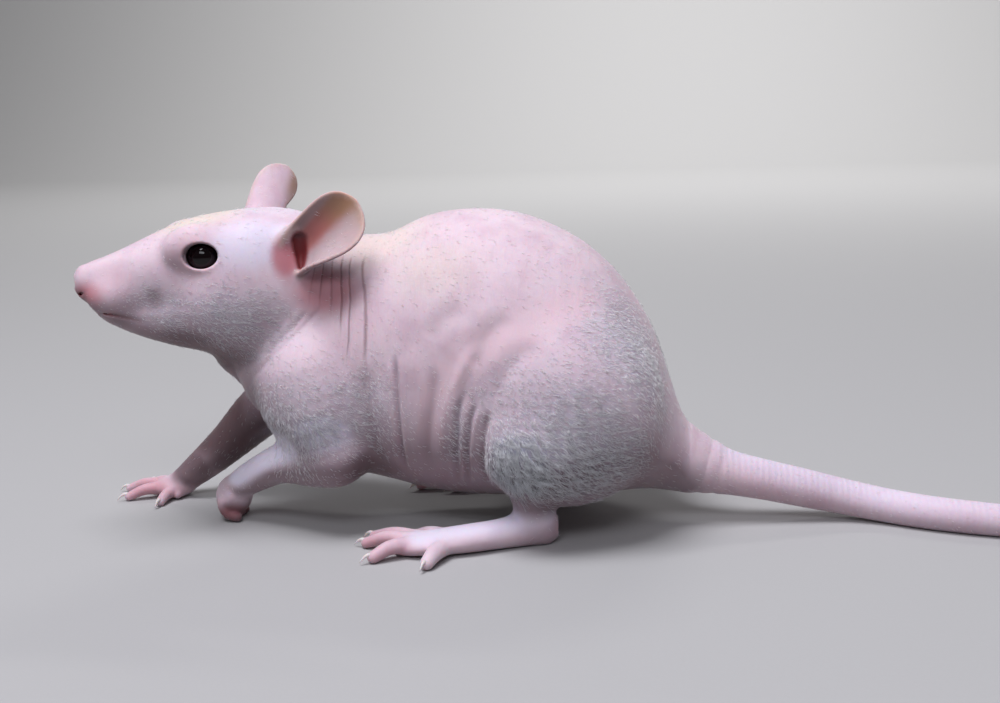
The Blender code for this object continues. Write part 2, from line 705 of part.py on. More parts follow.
def claw(name, into, tip, before):
    """A small cone that carries on past a toe's end and dips to the floor."""
    tip, before = np.asarray(tip, float), np.asarray(before, float)
    ahead = tip[:3] - before[:3]
    ahead[2] *= 0.3
    ahead /= np.linalg.norm(ahead)
    start = tip[:3] + ahead * tip[3] * 0.2 + (0.0, 0.0, 0.25)
    end = tip[:3] + ahead * (tip[3] + CLAW_LENGTH - 0.4)
    end[2] = 0.35
    middle = (start + end) / 2 + (0.0, 0.0, 0.2)
    return limb(name, into, ((*start, CLAW_RADIUS), (*middle, CLAW_RADIUS * 0.85), (*end, 0.22)), 8, 0.5)


def toes(into, rows):
    for k, row in enumerate(rows):
        limb(f"toe {k}", into, row, 12, 0.6)
        claw(f"claw {k}", into, row[-1], row[-2])


def foot(name, parts, tools, make_forms, wrist, ahead):
    """A foot fused from its forms, flat on the floor and cut square where its leg begins."""
    forms = collection(f"{name} forms")
    make_forms(forms)
    made = fused(name, parts, forms, FOOT_VOXEL, FOOT_SOFTENING, FOOT_FACES)
    unit = np.asarray(ahead, float) / np.linalg.norm(ahead)
    trim(made, tools, np.asarray(wrist) + unit * GAP / 2, -unit, 20.0, 20.0)
    return made


def hind_forms(rows_of):
    def make(into):
        flat_limb("sole", into, rows_of(SOLE), 0.7)
        limb("ankle", into, rows_of(SHANK), 16, 0.6)
        toes(into, [rows_of(toe) for toe in HIND_TOES])

    return make


def right_hand_forms(into):
    blob("palm", into, *PALM_RIGHT)
    limb("wrist", into, FOREARM_RIGHT[2:], 16, 0.6)
    toes(into, FINGERS_RIGHT)
    limb("thumb", into, THUMB_RIGHT, 10, 0.5)


def left_hand_forms(into):
    blob("palm", into, *PALM_LEFT)
    limb("wrist", into, FOREARM_LEFT[2:], 16, 0.6)
    for y, lead in FINGERS_LEFT:
        limb("finger", into, [(x + lead, y, z, radius) for x, z, radius in FINGER_CURL], 12, 0.5)


def floor_block(tools):
    cutter = block("floor", tools, (40.0, 0.0, 0.0), (0.0, 0.0, -1.0), (300.0, 120.0), 20.0)
    return cutter


def tail_length(name, parts, tools, first, last):
    """A length of the tail between two places along X, cut square to X."""
    rows = along(TAIL, 1.6)
    inside = rows[(rows[:, 0] > first - 4.0) & (rows[:, 0] < last + 4.0)]
    made = limb(name, parts, inside, 14, 3.0)
    if first > TAIL[0][0]:
        trim(made, tools, (first + GAP, 0.0, 5.0), (-1.0, 0.0, 0.0), 40.0, 30.0)
    if last < TAIL[-1][0]:
        trim(made, tools, (last, 0.0, 5.0), (1.0, 0.0, 0.0), 40.0, 30.0)
    return made


def mirror(point, shift):
    return (point[0] + shift, -point[1], point[2])


def feet(rest, parts, tools):
    """The four feet as nodes of their own, with the limbs cut off short of them."""
    ankle_right = (mirror(ANKLE[0], RIGHT_HIND_SHIFT), ANKLE[1])
    left = hind_forms(lambda rows: rows)
    right = hind_forms(lambda rows: mirrored(rows, RIGHT_HIND_SHIFT))
    made = {}
    for name, forms, (point, way) in (
        ("forefoot_left", left_hand_forms, WRIST_LEFT),
        ("forefoot_right", right_hand_forms, WRIST_RIGHT),
        ("hindfoot_left", left, ANKLE),
        ("hindfoot_right", right, ankle_right),
    ):
        made[name] = foot(name, parts, tools, forms, point, way)
        unit = np.asarray(way, float) / np.linalg.norm(way)
        trim(rest, tools, np.asarray(point) - unit * GAP / 2, unit, 12.0, 12.0)
    return made


def divided(rest, parts, tools):
    """Parts head, neck, limbs and the first length of the tail off the fused skin."""
    head_cut = box_region(in_head(HEAD_CUT[0]), head_direction(HEAD_CUT[1]), *HEAD_BLOCK)
    made = {"head": part_off(rest, "head", parts, tools, head_cut)}
    made["neck"] = part_off(rest, "neck", parts, tools, box_region(*NECK_CUT, *NECK_BLOCK))
    made["foreleg_left"] = part_off(rest, "foreleg_left", parts, tools, egg_region(*FORELEG_LEFT_EGG))
    made["foreleg_right"] = part_off(rest, "foreleg_right", parts, tools, egg_region(*FORELEG_RIGHT_EGG))
    middle, radii = HINDLEG_EGG
    made["hindleg_left"] = part_off(rest, "hindleg_left", parts, tools, egg_region(middle, radii))
    other = mirror(middle, RIGHT_HIND_SHIFT)
    made["hindleg_right"] = part_off(rest, "hindleg_right", parts, tools, egg_region(other, radii))
    tail_cut = box_region((TAIL_CUTS[0], 0.0, 10.0), (1.0, 0.0, 0.0), *TAIL_BLOCK)
    made["tail_1"] = part_off(rest, "tail_1", parts, tools, tail_cut)
    trim(made["tail_1"], tools, (TAIL_CUTS[1], 0.0, 8.0), (1.0, 0.0, 0.0), *[30.0] * 2)
    return made


def build():
    for obj in list(bpy.data.objects):
        bpy.data.objects.remove(obj, do_unlink=True)
    parts = collection("Rat")
    tools = collection("Cutters")

    forms = collection("body forms")
    body_forms(forms)
    rest = fused("torso", parts, forms, BODY_VOXEL, BODY_SOFTENING, BODY_FACES)
    nodes = {**feet(rest, parts, tools), **divided(rest, parts, tools)}
    nodes["torso"] = rest

    ends = [*TAIL_CUTS[1:], TAIL[-1][0]]
    for k in range(len(ends) - 1):
        name = f"tail_{k + 2}"
        nodes[name] = tail_length(name, parts, tools, ends[k], ends[k + 1])

    flesh = (nodes["head"], nodes["neck"], nodes["torso"])
    nodes["ear_left"] = ear("ear_left", parts, tools, flesh, EAR_LEFT, 1)
    nodes["ear_right"] = ear("ear_right", parts, tools, flesh, EAR_RIGHT, -1)
    nodes["eye_left"], nodes["eye_right"] = finish_head(nodes["head"], parts, tools)

    floor = floor_block(tools)
    for name, node in nodes.items():
        if "foot" in name or "tail" in name:
            boolean(node, floor, "DIFFERENCE")

    finishes = {
        "ear": ("Ear skin", EAR_SKIN, 0.55),
        "eye": ("Eye", EYE_BLACK, 0.08),
        "forefoot": ("Foot skin", FOOT_SKIN, 0.55),
        "hindfoot": ("Foot skin", FOOT_SKIN, 0.55),
        "tail": ("Tail skin", TAIL_SKIN, 0.6),
    }
    for name, node in nodes.items():
        finish = finishes.get(name.split("_")[0], ("Bare skin", SKIN, 0.6))
        node.data.transform(Matrix.Translation(-Vector(ORIGIN) * MM))
        node.data.materials.clear()
        node.data.materials.append(material(f"{finish[0]} {name}", finish[1], finish[2]))
        node.data.shade_smooth()
        node.data.set_sharp_from_angle(angle=math.radians(50.0))


build()
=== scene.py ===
"""A young hairless rat at life size: one bare, folded skin with sparse fuzz, dark eyes and horn claws.

Sizes are in millimetres in the frame the animal was measured in: it faces -X, its left side is -Y
and it stands on z = 0. They become metres in the part's own frame as each mesh is made.
"""

import logging
import math
from dataclasses import dataclass, field
from enum import Enum
from typing import Protocol, Sequence

import bmesh
import bpy
import numpy as np
from mathutils import Matrix, Vector


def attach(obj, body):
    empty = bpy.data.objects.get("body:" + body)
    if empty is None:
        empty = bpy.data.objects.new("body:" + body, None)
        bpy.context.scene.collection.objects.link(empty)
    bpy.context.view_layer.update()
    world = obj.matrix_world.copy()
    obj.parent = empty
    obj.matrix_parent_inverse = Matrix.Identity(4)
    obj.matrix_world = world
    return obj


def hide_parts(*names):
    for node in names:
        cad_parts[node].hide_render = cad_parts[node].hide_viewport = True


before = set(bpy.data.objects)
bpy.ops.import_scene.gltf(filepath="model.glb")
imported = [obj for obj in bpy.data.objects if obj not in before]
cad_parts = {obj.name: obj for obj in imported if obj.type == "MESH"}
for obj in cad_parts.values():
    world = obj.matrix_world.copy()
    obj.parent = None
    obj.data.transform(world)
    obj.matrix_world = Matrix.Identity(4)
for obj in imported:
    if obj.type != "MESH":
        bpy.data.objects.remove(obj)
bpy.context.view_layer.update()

Array = np.ndarray
Rows = Sequence[Sequence[float]]
Triple = tuple[float, float, float]
Socket = bpy.types.NodeSocket

MM = 0.001
ORIGIN = np.array((39.8, 0.0, 0.0))
BODY = "root"
LOG = logging.getLogger("rat")

# How far a fillet starts from the crease, in lots of its softness
FILLET_REACH = 1.5
# The head turns aside, so the animal's middle line bends: places along the body, and how far aside it lies
MIDDLE_LINE = ((-70.0, -45.0, -30.0), (-19.0, -6.0, 0.0))
# How far back the tail starts
TAIL_START = 44.0
# How many points a hair has
HAIR_POINTS = 7
# The near forearm's upper side, where painted light brightens the skin: centre and radius
FOREARM_LINE = ((-33.0, -14.0, 18.0, 4.6), (-39.0, -12.0, 16.0, 4.6), (-47.0, -8.5, 11.0, 4.6))


def linear(hex_colour: str) -> tuple[float, float, float, float]:
    """Turns an sRGB hex colour to linear light.

    Args:
        hex_colour: six hex digits after a hash.

    Returns:
        Linear red, green, blue and full alpha, by the sRGB curve.
    """
    parts = [int(hex_colour[at : at + 2], 16) / 255.0 for at in (1, 3, 5)]
    light = [((part + 0.055) / 1.055) ** 2.4 if part > 0.04045 else part / 12.92 for part in parts]
    return (light[0], light[1], light[2], 1.0)


def unit(vector: Sequence[float] | Array) -> Array:
    """A vector at length one."""
    vector = np.asarray(vector, float)
    return vector / np.linalg.norm(vector)


def ease(value: Array, low: float, high: float) -> Array:
    """A smooth step: 0 at low, 1 at high, with level ends, by 3t^2 - 2t^3."""
    part = np.clip((value - low) / (high - low), 0.0, 1.0)
    return part * part * (3.0 - 2.0 * part)


def join(first: Array, second: Array, softness: float) -> Array:
    """Joins two distance fields with a fillet.

    Args:
        first: distances to one form.
        second: distances to the other.
        softness: the fillet's size in millimetres; it starts 1.5 of these from the crease.

    Returns:
        The lesser distance, lowered near the crease by h^3 * softness / 4, where h is the
        share of the reach by which the two differ, taken from one. So the curve starts
        and ends with no step in its bend, which light would show as a line.
    """
    reach = FILLET_REACH * softness
    near = np.maximum(reach - np.abs(first - second), 0.0) / reach
    return np.minimum(first, second) - near**3 * softness / 4.0


def carve(first: Array, cut: Array, softness: float) -> Array:
    """Takes one field's inside out of another, with an eased rim."""
    return -join(-first, cut, softness)


def along_rows(at: Array, rows: Rows) -> Array:
    """Values on a smooth curve through known rows, whose first column is the place.

    Args:
        at: places to read.
        rows: the known rows, by rising place.

    Returns:
        One row for each place, by cubic Hermite spans whose slopes at a row are the
        weighted mean of the slopes on its two sides.
    """
    known = np.asarray(rows, float)
    place, values = known[:, 0], known[:, 1:]
    step = np.diff(place)
    slope = np.diff(values, axis=0) / step[:, None]
    weight = (step[1:] / (step[1:] + step[:-1]))[:, None]
    tangent = np.vstack([slope[:1], slope[:-1] * weight + slope[1:] * (1.0 - weight), slope[-1:]])
    span = np.clip(np.searchsorted(place, at, side="right") - 1, 0, len(step) - 1)
    width = step[span][:, None]
    part = (np.asarray(at, float)[:, None] - place[span][:, None]) / width
    rise = part * part * (3.0 - 2.0 * part)
    lead = part * (1.0 - part) ** 2
    trail = part * part * (part - 1.0)
    return (
        values[span] * (1.0 - rise)
        + values[span + 1] * rise
        + width * (tangent[span] * lead + tangent[span + 1] * trail)
    )


def along_path(rows: Rows, spacing: float) -> Array:
    """A path's rows read again at even steps of its own length."""
    known = np.asarray(rows, float)
    steps = np.linalg.norm(np.diff(known[:, :3], axis=0), axis=1)
    length = np.concatenate([[0.0], np.cumsum(steps)])
    at = np.linspace(0.0, length[-1], max(3, int(length[-1] / spacing) + 1))
    return along_rows(at, np.column_stack([length, known]))


def middle_line(points: Array) -> Array:
    """How far aside the animal's middle lies at each point's place along the body."""
    return np.interp(points[:, 0], *MIDDLE_LINE)


def within(points: Array, low: Array, high: Array) -> Array:
    """The numbers of the points inside a box."""
    return np.flatnonzero(((points > low) & (points < high)).all(axis=1))


def raise_to(values: Array, near: Array, amount: Array) -> None:
    """Raises the values at some numbers to an amount where that is greater."""
    values[near] = np.maximum(values[near], amount)


def sided(row: Sequence[float], side: float) -> tuple[float, ...]:
    """A place or a row with its sideways part times the side, which is 1 or -1."""
    return (row[0], side * row[1], *row[2:])


def mirrored(rows: Rows, shift: float = 0.0) -> tuple[tuple[float, ...], ...]:
    """Rows on the other side of the body, moved forward or back by a shift."""
    return tuple((row[0] + shift, -row[1], *row[2:]) for row in rows)


@dataclass(frozen=True)
class Place:
    """A local frame: where it starts, and its ways along, to the side and up."""

    start: Triple
    along: Triple
    side: Triple
    up: Triple

    def axes(self) -> Array:
        """The three directions as the rows of a matrix, each at length one."""
        return np.array([unit(self.along), unit(self.side), unit(self.up)])

    def local(self, points: Array) -> Array:
        """Points of the body's frame in this frame."""
        return (points - np.array(self.start)) @ self.axes().T

    def world(self, points: Array | Sequence[float]) -> Array:
        """Points of this frame in the body's frame."""
        return np.asarray(points, float) @ self.axes() + np.array(self.start)

    def way(self, direction: Sequence[float]) -> Array:
        """A direction of this frame in the body's frame, at length one."""
        return unit(np.asarray(direction, float) @ self.axes())


HEAD_TURN = math.radians(27.0)
WHOLE = Place((0.0, 0.0, 0.0), (1.0, 0.0, 0.0), (0.0, 1.0, 0.0), (0.0, 0.0, 1.0))
HEAD = Place(
    (-70.1, -19.0, 49.3),
    (math.cos(HEAD_TURN), math.sin(HEAD_TURN), 0.0),
    (math.sin(HEAD_TURN), -math.cos(HEAD_TURN), 0.0),
    (0.0, 0.0, 1.0),
)


class Form(Protocol):
    """A closed form given by its distance field, in millimetres."""

    def distance(self, points: Array) -> Array:
        """Signed distance of each point, negative inside."""

    def box(self) -> tuple[Array, Array]:
        """Lowest and highest corner."""


@dataclass(frozen=True)
class Egg:
    """An ellipsoid with its radii along a local frame's axes."""

    centre: Triple
    radii: Triple
    place: Place = WHOLE

    def distance(self, points: Array) -> Array:
        """Distance by k (k - 1) / g, where k is the scaled radius and g its gradient times k."""
        scaled = (self.place.local(points) - np.array(self.centre)) / np.array(self.radii)
        ratio = np.linalg.norm(scaled, axis=1)
        slope = np.linalg.norm(scaled / np.array(self.radii), axis=1)
        return ratio * (ratio - 1.0) / np.maximum(slope, 1e-6)

    def box(self) -> tuple[Array, Array]:
        """A cube of the largest radius round the centre."""
        middle = self.place.world(self.centre)
        return middle - max(self.radii), middle + max(self.radii)


@dataclass(frozen=True)
class Limb:
    """A round limb, toe, tail or groove: balls of changing radius swept along a path."""

    rows: Rows
    spacing: float = 1.0
    place: Place = WHOLE

    def path(self) -> Array:
        """The path's points in the body's frame with their radii."""
        rows = along_path(self.rows, self.spacing)
        return np.column_stack([self.place.world(rows[:, :3]), rows[:, 3]])

    def distance(self, points: Array) -> Array:
        """The least distance to any span of the path, less the radius at the nearest place on it."""
        path = self.path()
        least = np.full(len(points), np.inf)
        for near, far in zip(path[:-1], path[1:]):
            span = far[:3] - near[:3]
            part = np.clip((points - near[:3]) @ span / (span @ span), 0.0, 1.0)
            away = np.linalg.norm(points - near[:3] - part[:, None] * span, axis=1)
            least = np.minimum(least, away - near[3] - part * (far[3] - near[3]))
        return least

    def box(self) -> tuple[Array, Array]:
        """The box of all the balls."""
        path = self.path()
        return (path[:, :3] - path[:, 3:]).min(axis=0), (path[:, :3] + path[:, 3:]).max(axis=0)


@dataclass
class Loft:
    """A body of rounded sections along a straight axis.

    Rows hold the place, top, bottom, half width and sideways shift of each section. Widest is
    the share of the height where it is widest, and a squareness of 2 is an ellipse.
    """

    rows: Rows
    widest: float
    squareness: float
    place: Place = WHOLE
    spacing: float = 0.1
    hold: float = 0.3
    at: Array = field(init=False)
    table: Array = field(init=False)

    def __post_init__(self) -> None:
        """Reads the sections at close steps."""
        self.at = np.arange(self.rows[0][0], self.rows[-1][0], self.spacing)
        self.table = along_rows(self.at, self.rows)

    def ratio(self, along: Array, side: Array, up: Array) -> tuple[Array, Array]:
        """Scaled radius in the section at each point, and its gradient within the section."""
        top, bottom, half, shift = (np.interp(along, self.at, column) for column in self.table.T)
        middle = bottom + self.widest * (top - bottom)
        reach = np.maximum(np.where(up > middle, top - middle, middle - bottom), 0.05)
        half = np.maximum(half, 0.05)
        power = self.squareness
        across = np.abs(side - shift) / half
        upward = np.abs(up - middle) / reach
        radius = np.maximum((across**power + upward**power) ** (1.0 / power), 1e-6)
        slope = np.hypot(
            (across / radius) ** (power - 1.0) / half,
            (upward / radius) ** (power - 1.0) / reach,
        )
        return radius, slope

    def distance(self, points: Array) -> Array:
        """Scaled radius less one, over its full gradient; past an end, the distance to it is added.

        Far from the loft the gradient's part along the axis fades with the square of the
        scaled radius, so that a blunt end draws only what is near it.
        """
        along, side, up = self.place.local(points).T
        held = np.clip(along, self.at[0] + self.hold, self.at[-1] - self.hold)
        radius, slope = self.ratio(held, side, up)
        ahead, behind = (self.ratio(held + step, side, up)[0] for step in (self.hold, -self.hold))
        rise = (ahead - behind) / (2.0 * self.hold) / np.maximum(radius, 1.0) ** 2
        away = (radius - 1.0) / np.maximum(np.hypot(slope, rise), 1e-3)
        past = np.abs(along - held)
        return np.where(past > 0.0, np.hypot(past, np.maximum(away, 0.0)), away)

    def box(self) -> tuple[Array, Array]:
        """The box of the loft's own box, turned into the body's frame."""
        wide = (self.table[:, 2] + np.abs(self.table[:, 3])).max()
        low, high = self.table[:, 1].min(), self.table[:, 0].max()
        ends = np.array([(a, s, u) for a in self.at[[0, -1]] for s in (-wide, wide) for u in (low, high)])
        turned = self.place.world(ends)
        return turned.min(axis=0), turned.max(axis=0)


@dataclass(frozen=True)
class Union:
    """Forms joined one after another, each with its own softness."""

    members: tuple[tuple[Form, float], ...]
    margin: float = 4.0

    def distance(self, points: Array) -> Array:
        """The joined distance; a form is only worked out near its own box."""
        total = np.full(len(points), 3.0 * self.margin)
        for form, softness in self.members:
            low, high = form.box()
            reach = self.margin + FILLET_REACH * softness
            near = within(points, low - reach, high + reach)
            if len(near):
                total[near] = join(total[near], form.distance(points[near]), softness)
        return total

    def box(self) -> tuple[Array, Array]:
        """The box of all members."""
        lows, highs = zip(*(form.box() for form, _ in self.members))
        return np.min(lows, axis=0), np.max(highs, axis=0)


@dataclass(frozen=True)
class Carved:
    """A form with others cut out of it, each with its own softness at the rim."""

    solid: Form
    cuts: tuple[tuple[Form, float], ...]
    margin: float = 2.0

    def distance(self, points: Array) -> Array:
        """The solid's distance, raised inside each cut."""
        total = self.solid.distance(points)
        for form, softness in self.cuts:
            low, high = form.box()
            near = within(points, low - self.margin, high + self.margin)
            if len(near):
                total[near] = carve(total[near], form.distance(points[near]), softness)
        return total

    def box(self) -> tuple[Array, Array]:
        """The solid's own box."""
        return self.solid.box()


@dataclass(frozen=True)
class EarShell:
    """The curled sheet of an ear, closed to a tube at its root and open as a cup above.

    Rows hold the place along the length, the flattened width in front and behind, and the
    radius of the curl. The back shares narrow it behind at the root, in the middle and at the tip.
    """

    root: Triple
    length_way: Triple
    open_way: Triple
    bend: float
    front_share: float
    back_shares: Triple
    side: int
    length: float = 18.3
    sink: float = 1.2
    base_depth: float = 1.5
    thick_root: float = 0.9
    thick_rim: float = 0.62
    rows: Rows = (
        (-0.10, 4.4, 3.4, 2.7),
        (0.00, 4.8, 4.2, 2.9),
        (0.12, 5.0, 5.8, 3.3),
        (0.28, 4.9, 7.6, 4.2),
        (0.48, 4.5, 8.8, 5.6),
        (0.66, 4.2, 9.0, 7.0),
        (0.82, 3.7, 8.1, 8.0),
        (0.93, 3.0, 6.4, 8.6),
        (1.00, 2.2, 4.6, 9.0),
    )

    def ways(self) -> tuple[Array, Array, Array]:
        """The ways along the ear, out of its cup, and toward its front edge."""
        ahead = HEAD.way(self.length_way)
        opening = HEAD.way(self.open_way)
        opening = unit(opening - ahead * (opening @ ahead))
        return ahead, opening, np.cross(opening, ahead) * self.side

    def read(self, points: Array) -> tuple[Array, Array, Array, Array]:
        """Where points lie on the ear.

        Returns:
            The place along the length, the arc from the middle line toward the front edge, the
            distance outward from the sheet's middle, and the distance past its outline, which
            is negative within it and rounded where the sides meet the tip.
        """
        ahead, opening, forward = self.ways()
        from_root = points - HEAD.world(self.root)
        long = from_root @ ahead
        place = (long + self.sink) / self.length
        front, back, curl = along_rows(np.clip(place, self.rows[0][0], 1.0), self.rows).T
        held = np.clip(place, 0.0, 1.0)
        centre = curl + self.bend * held * held - self.base_depth
        across = from_root @ forward
        outward = from_root @ opening - centre
        radius = np.hypot(across, outward)
        arc = np.arctan2(across, -outward) * curl
        share = np.interp(held, (0.0, 0.55, 1.0), self.back_shares)
        past = np.maximum(arc - front * self.front_share, -arc - back * share)
        beyond = np.maximum(place - 1.0, self.rows[0][0] - place) * self.length
        return place, arc, radius - curl, -join(-past, -beyond, 5.0)

    def distance(self, points: Array) -> Array:
        """The distance to the sheet's middle within its outline, less half its thickness."""
        place, _, off, outline = self.read(points)
        thick = self.thick_root + (self.thick_rim - self.thick_root) * np.clip(place, 0.0, 1.0)
        return np.hypot(off, np.maximum(outline, 0.0)) - thick / 2.0

    def box(self) -> tuple[Array, Array]:
        """A cube round the whole length."""
        ahead, opening, _ = self.ways()
        middle = HEAD.world(self.root) + ahead * self.length / 2.0 + opening * 2.0
        return middle - self.length * 0.75, middle + self.length * 0.75


def path_loft(rows: Rows, widest: float, squareness: float = 2.0) -> Loft:
    """A loft along the straight line between the ends of a bowed path.

    Args:
        rows: centre, half width, reach up and reach down at each place of the path.
        widest: share of the height where the sections are widest.
        squareness: 2 for ellipses, more for squarer sections.

    Returns:
        The loft, with each row's centre measured along, beside and above the line.
    """
    known = np.asarray(rows, float)
    ahead = unit(known[-1, :3] - known[0, :3])
    side = unit(np.cross(ahead, (0.0, 0.0, 1.0)))
    place = Place(tuple(known[0, :3]), tuple(ahead), tuple(side), tuple(np.cross(side, ahead)))
    along, aside, above = place.local(known[:, :3]).T
    sections = np.column_stack([along, above + known[:, 4], above - known[:, 5], known[:, 3], aside])
    return Loft(tuple(map(tuple, sections)), widest, squareness, place)


def centred(rows: Rows) -> Rows:
    """Sections with no sideways shift."""
    return tuple((*row, 0.0) for row in rows)


Member = tuple[Form, float]


@dataclass(frozen=True)
class Trunk:
    """Torso and neck, with the swellings of the shoulders and thighs."""

    torso: Rows = (
        (-45.0, 32.0, 28.0, 3.5, -3.0),
        (-43.6, 36.0, 24.5, 7.5, -2.5),
        (-40.0, 43.0, 20.0, 11.0, -1.5),
        (-35.0, 48.5, 14.4, 13.0, -0.5),
        (-30.0, 51.3, 11.4, 14.5, 0.0),
        (-24.0, 53.2, 9.8, 16.0, 0.0),
        (-17.0, 54.9, 8.2, 17.4, 0.0),
        (-9.0, 58.2, 6.4, 19.2, 0.0),
        (0.0, 59.2, 5.6, 20.5, 0.0),
        (8.0, 58.2, 5.6, 20.8, 0.0),
        (15.0, 55.4, 5.9, 20.0, 0.0),
        (21.0, 51.6, 6.2, 18.6, 0.0),
        (27.0, 45.2, 6.6, 16.5, 0.0),
        (32.0, 36.4, 7.4, 13.0, 0.0),
        (35.5, 26.0, 8.6, 9.5, 0.0),
        (37.8, 19.0, 9.4, 6.0, 0.0),
        (39.2, 15.8, 11.5, 2.5, 0.0),
    )
    neck: Rows = (
        (-45.0, -6.0, 48.4, 8.5, 7.5, 11.5),
        (-41.0, -4.5, 46.5, 10.5, 12.0, 17.0),
        (-35.0, -2.0, 42.5, 12.3, 14.3, 17.8),
        (-28.0, 0.0, 38.0, 14.0, 18.0, 19.3),
        (-21.0, 0.0, 34.0, 15.0, 19.5, 21.0),
    )
    thigh: tuple[Triple, Triple] = ((16.2, -12.0, 24.2), (17.6, 11.8, 17.8))
    shoulder: tuple[Triple, Triple] = ((-30.5, -9.6, 27.5), (9.5, 8.4, 11.5))
    knee: tuple[Triple, Triple] = ((12.8, -18.2, 18.6), (9.5, 6.6, 8.6))
    fillet: float = 3.0

    def members(self) -> list[Member]:
        """The forms of the trunk with their fillets."""
        found: list[Member] = [
            (Loft(self.torso, 0.42, 2.15), self.fillet),
            (path_loft(self.neck, 0.58), self.fillet),
        ]
        for side in (1, -1):
            for centre, radii in (self.thigh, self.shoulder, self.knee):
                found.append((Egg(sided(centre, side), radii), self.fillet))
        return found


@dataclass(frozen=True)
class Head:
    """Skull, jaw, lips, nose and the lids, in the head's own frame: back from the nose, left, up."""

    snout: Rows = (
        (-0.7, 0.7, -1.5, 0.6),
        (0.1, 2.0, -2.7, 1.7),
        (2.2, 3.1, -3.8, 2.6),
        (5.0, 4.0, -5.0, 3.6),
        (8.5, 5.3, -6.4, 4.9),
        (12.5, 7.0, -7.8, 6.1),
        (16.5, 8.6, -9.4, 7.2),
        (20.5, 9.9, -10.8, 8.4),
        (24.5, 10.6, -12.2, 9.6),
        (28.5, 10.9, -13.0, 10.6),
        (33.0, 11.1, -13.6, 11.1),
        (38.0, 10.8, -13.6, 10.9),
        (42.0, 9.6, -12.8, 9.8),
        (45.5, 6.8, -11.0, 7.6),
        (48.0, 2.5, -7.0, 4.0),
    )
    jaw: Rows = (
        (3.2, -4.8, -6.2, 0.8),
        (4.2, -4.6, -7.4, 2.0),
        (6.5, -4.6, -9.0, 3.3),
        (10.0, -4.2, -10.8, 4.9),
        (14.5, -3.4, -12.6, 6.5),
        (20.0, -3.2, -14.3, 8.1),
        (26.0, -4.5, -15.5, 9.4),
        (32.0, -6.0, -16.2, 9.8),
        (38.0, -7.0, -15.5, 8.8),
        (43.0, -7.0, -13.0, 5.5),
    )
    whisker_pad: tuple[Triple, Triple] = ((6.6, 2.5, -3.2), (4.8, 2.5, 3.0))
    brow: tuple[Triple, Triple] = ((20.8, 5.6, 4.9), (5.8, 3.5, 4.5))
    cheek: tuple[Triple, Triple] = ((30.5, 7.2, -5.2), (11.0, 4.9, 8.6))
    temple: tuple[Triple, Triple] = ((33.0, 5.6, 3.8), (11.0, 4.9, 5.6))
    eye: Triple = (22.1, 6.25, 3.45)
    eye_look: Triple = (-0.22, 0.95, 0.16)
    eye_radius: float = 3.1
    lid_radius: float = 3.72
    lid_opening: Triple = (3.4, 2.5, 8.0)
    lid_lead: float = 0.05
    eye_gap: float = 0.06
    eye_corner: Rows = ((2.3, -0.1, 2.2, 0.42), (3.1, -0.25, 2.0, 0.3), (3.75, -0.45, 1.9, 0.12))
    mouth: Rows = (
        (10.4, 5.6, -7.8),
        (8.4, 4.9, -7.1),
        (6.0, 4.1, -6.4),
        (4.2, 3.0, -5.6),
        (2.9, 1.5, -4.9),
        (2.5, 0.0, -4.6),
    )
    mouth_radius: float = 0.32
    nostril: Rows = ((0.4, 0.9, -2.2, 0.3), (0.9, 1.6, -1.95, 0.42), (1.7, 2.1, -1.4, 0.2))
    cleft: Rows = ((-0.75, 0.0, -1.4, 0.16), (0.2, 0.0, -2.9, 0.22), (2.0, 0.0, -4.3, 0.26))

    def eyes(self) -> list[tuple[str, int, Array, Array]]:
        """Name, side, centre and looking direction of each eye."""
        return [
            (name, side, HEAD.world(sided(self.eye, side)), HEAD.way(sided(self.eye_look, side)))
            for name, side in (("eye_left", 1), ("eye_right", -1))
        ]

    def eye_place(self, side: int, centre: Array, look: Array) -> Place:
        """The frame of one eye: along its opening toward the nose, across it, and out."""
        ahead = unit(np.cross((0.0, 0.0, 1.0), look)) * -side
        return Place(tuple(centre), tuple(ahead), tuple(np.cross(look, ahead)), tuple(look))

    def members(self) -> list[Member]:
        """The forms of the head with their fillets."""
        found: list[Member] = [
            (Loft(centred(self.snout), 0.45, 2.2, HEAD), 3.0),
            (Loft(centred(self.jaw), 0.6, 2.2, HEAD), 2.6),
        ]
        for side in (1, -1):
            for (centre, radii), fillet in (
                (self.whisker_pad, 2.6),
                (self.brow, 1.6),
                (self.cheek, 4.0),
                (self.temple, 4.0),
            ):
                found.append((Egg(sided(centre, side), radii, HEAD), fillet))
        for _, _, centre, look in self.eyes():
            lid = centre + look * self.lid_lead
            found.append((Egg(tuple(lid), (self.lid_radius,) * 3), 1.1))
        return found

    def cuts(self) -> list[Member]:
        """Sockets, lid openings, nostrils and the lines of mouth and lip."""
        found: list[Member] = []
        for _, side, centre, look in self.eyes():
            found.append((Egg(tuple(centre), (self.eye_radius + self.eye_gap,) * 3), 0.15))
            place = self.eye_place(side, centre, look)
            found.append((Egg((0.25, 0.0, 6.0), self.lid_opening, place), 0.25))
            found.append((Limb(self.eye_corner, 0.5, place), 0.3))
        for side in (1, -1):
            nostril = tuple(sided(row, side) for row in self.nostril)
            found.append((Limb(nostril, 0.4, HEAD), 0.3))
        left = [(*row, self.mouth_radius) for row in self.mouth]
        right = [sided(row, -1) for row in left[-2::-1]]
        found.append((Limb(tuple(left + right), 1.0, HEAD), 0.45))
        found.append((Limb(self.cleft, 0.8, HEAD), 0.35))
        return found


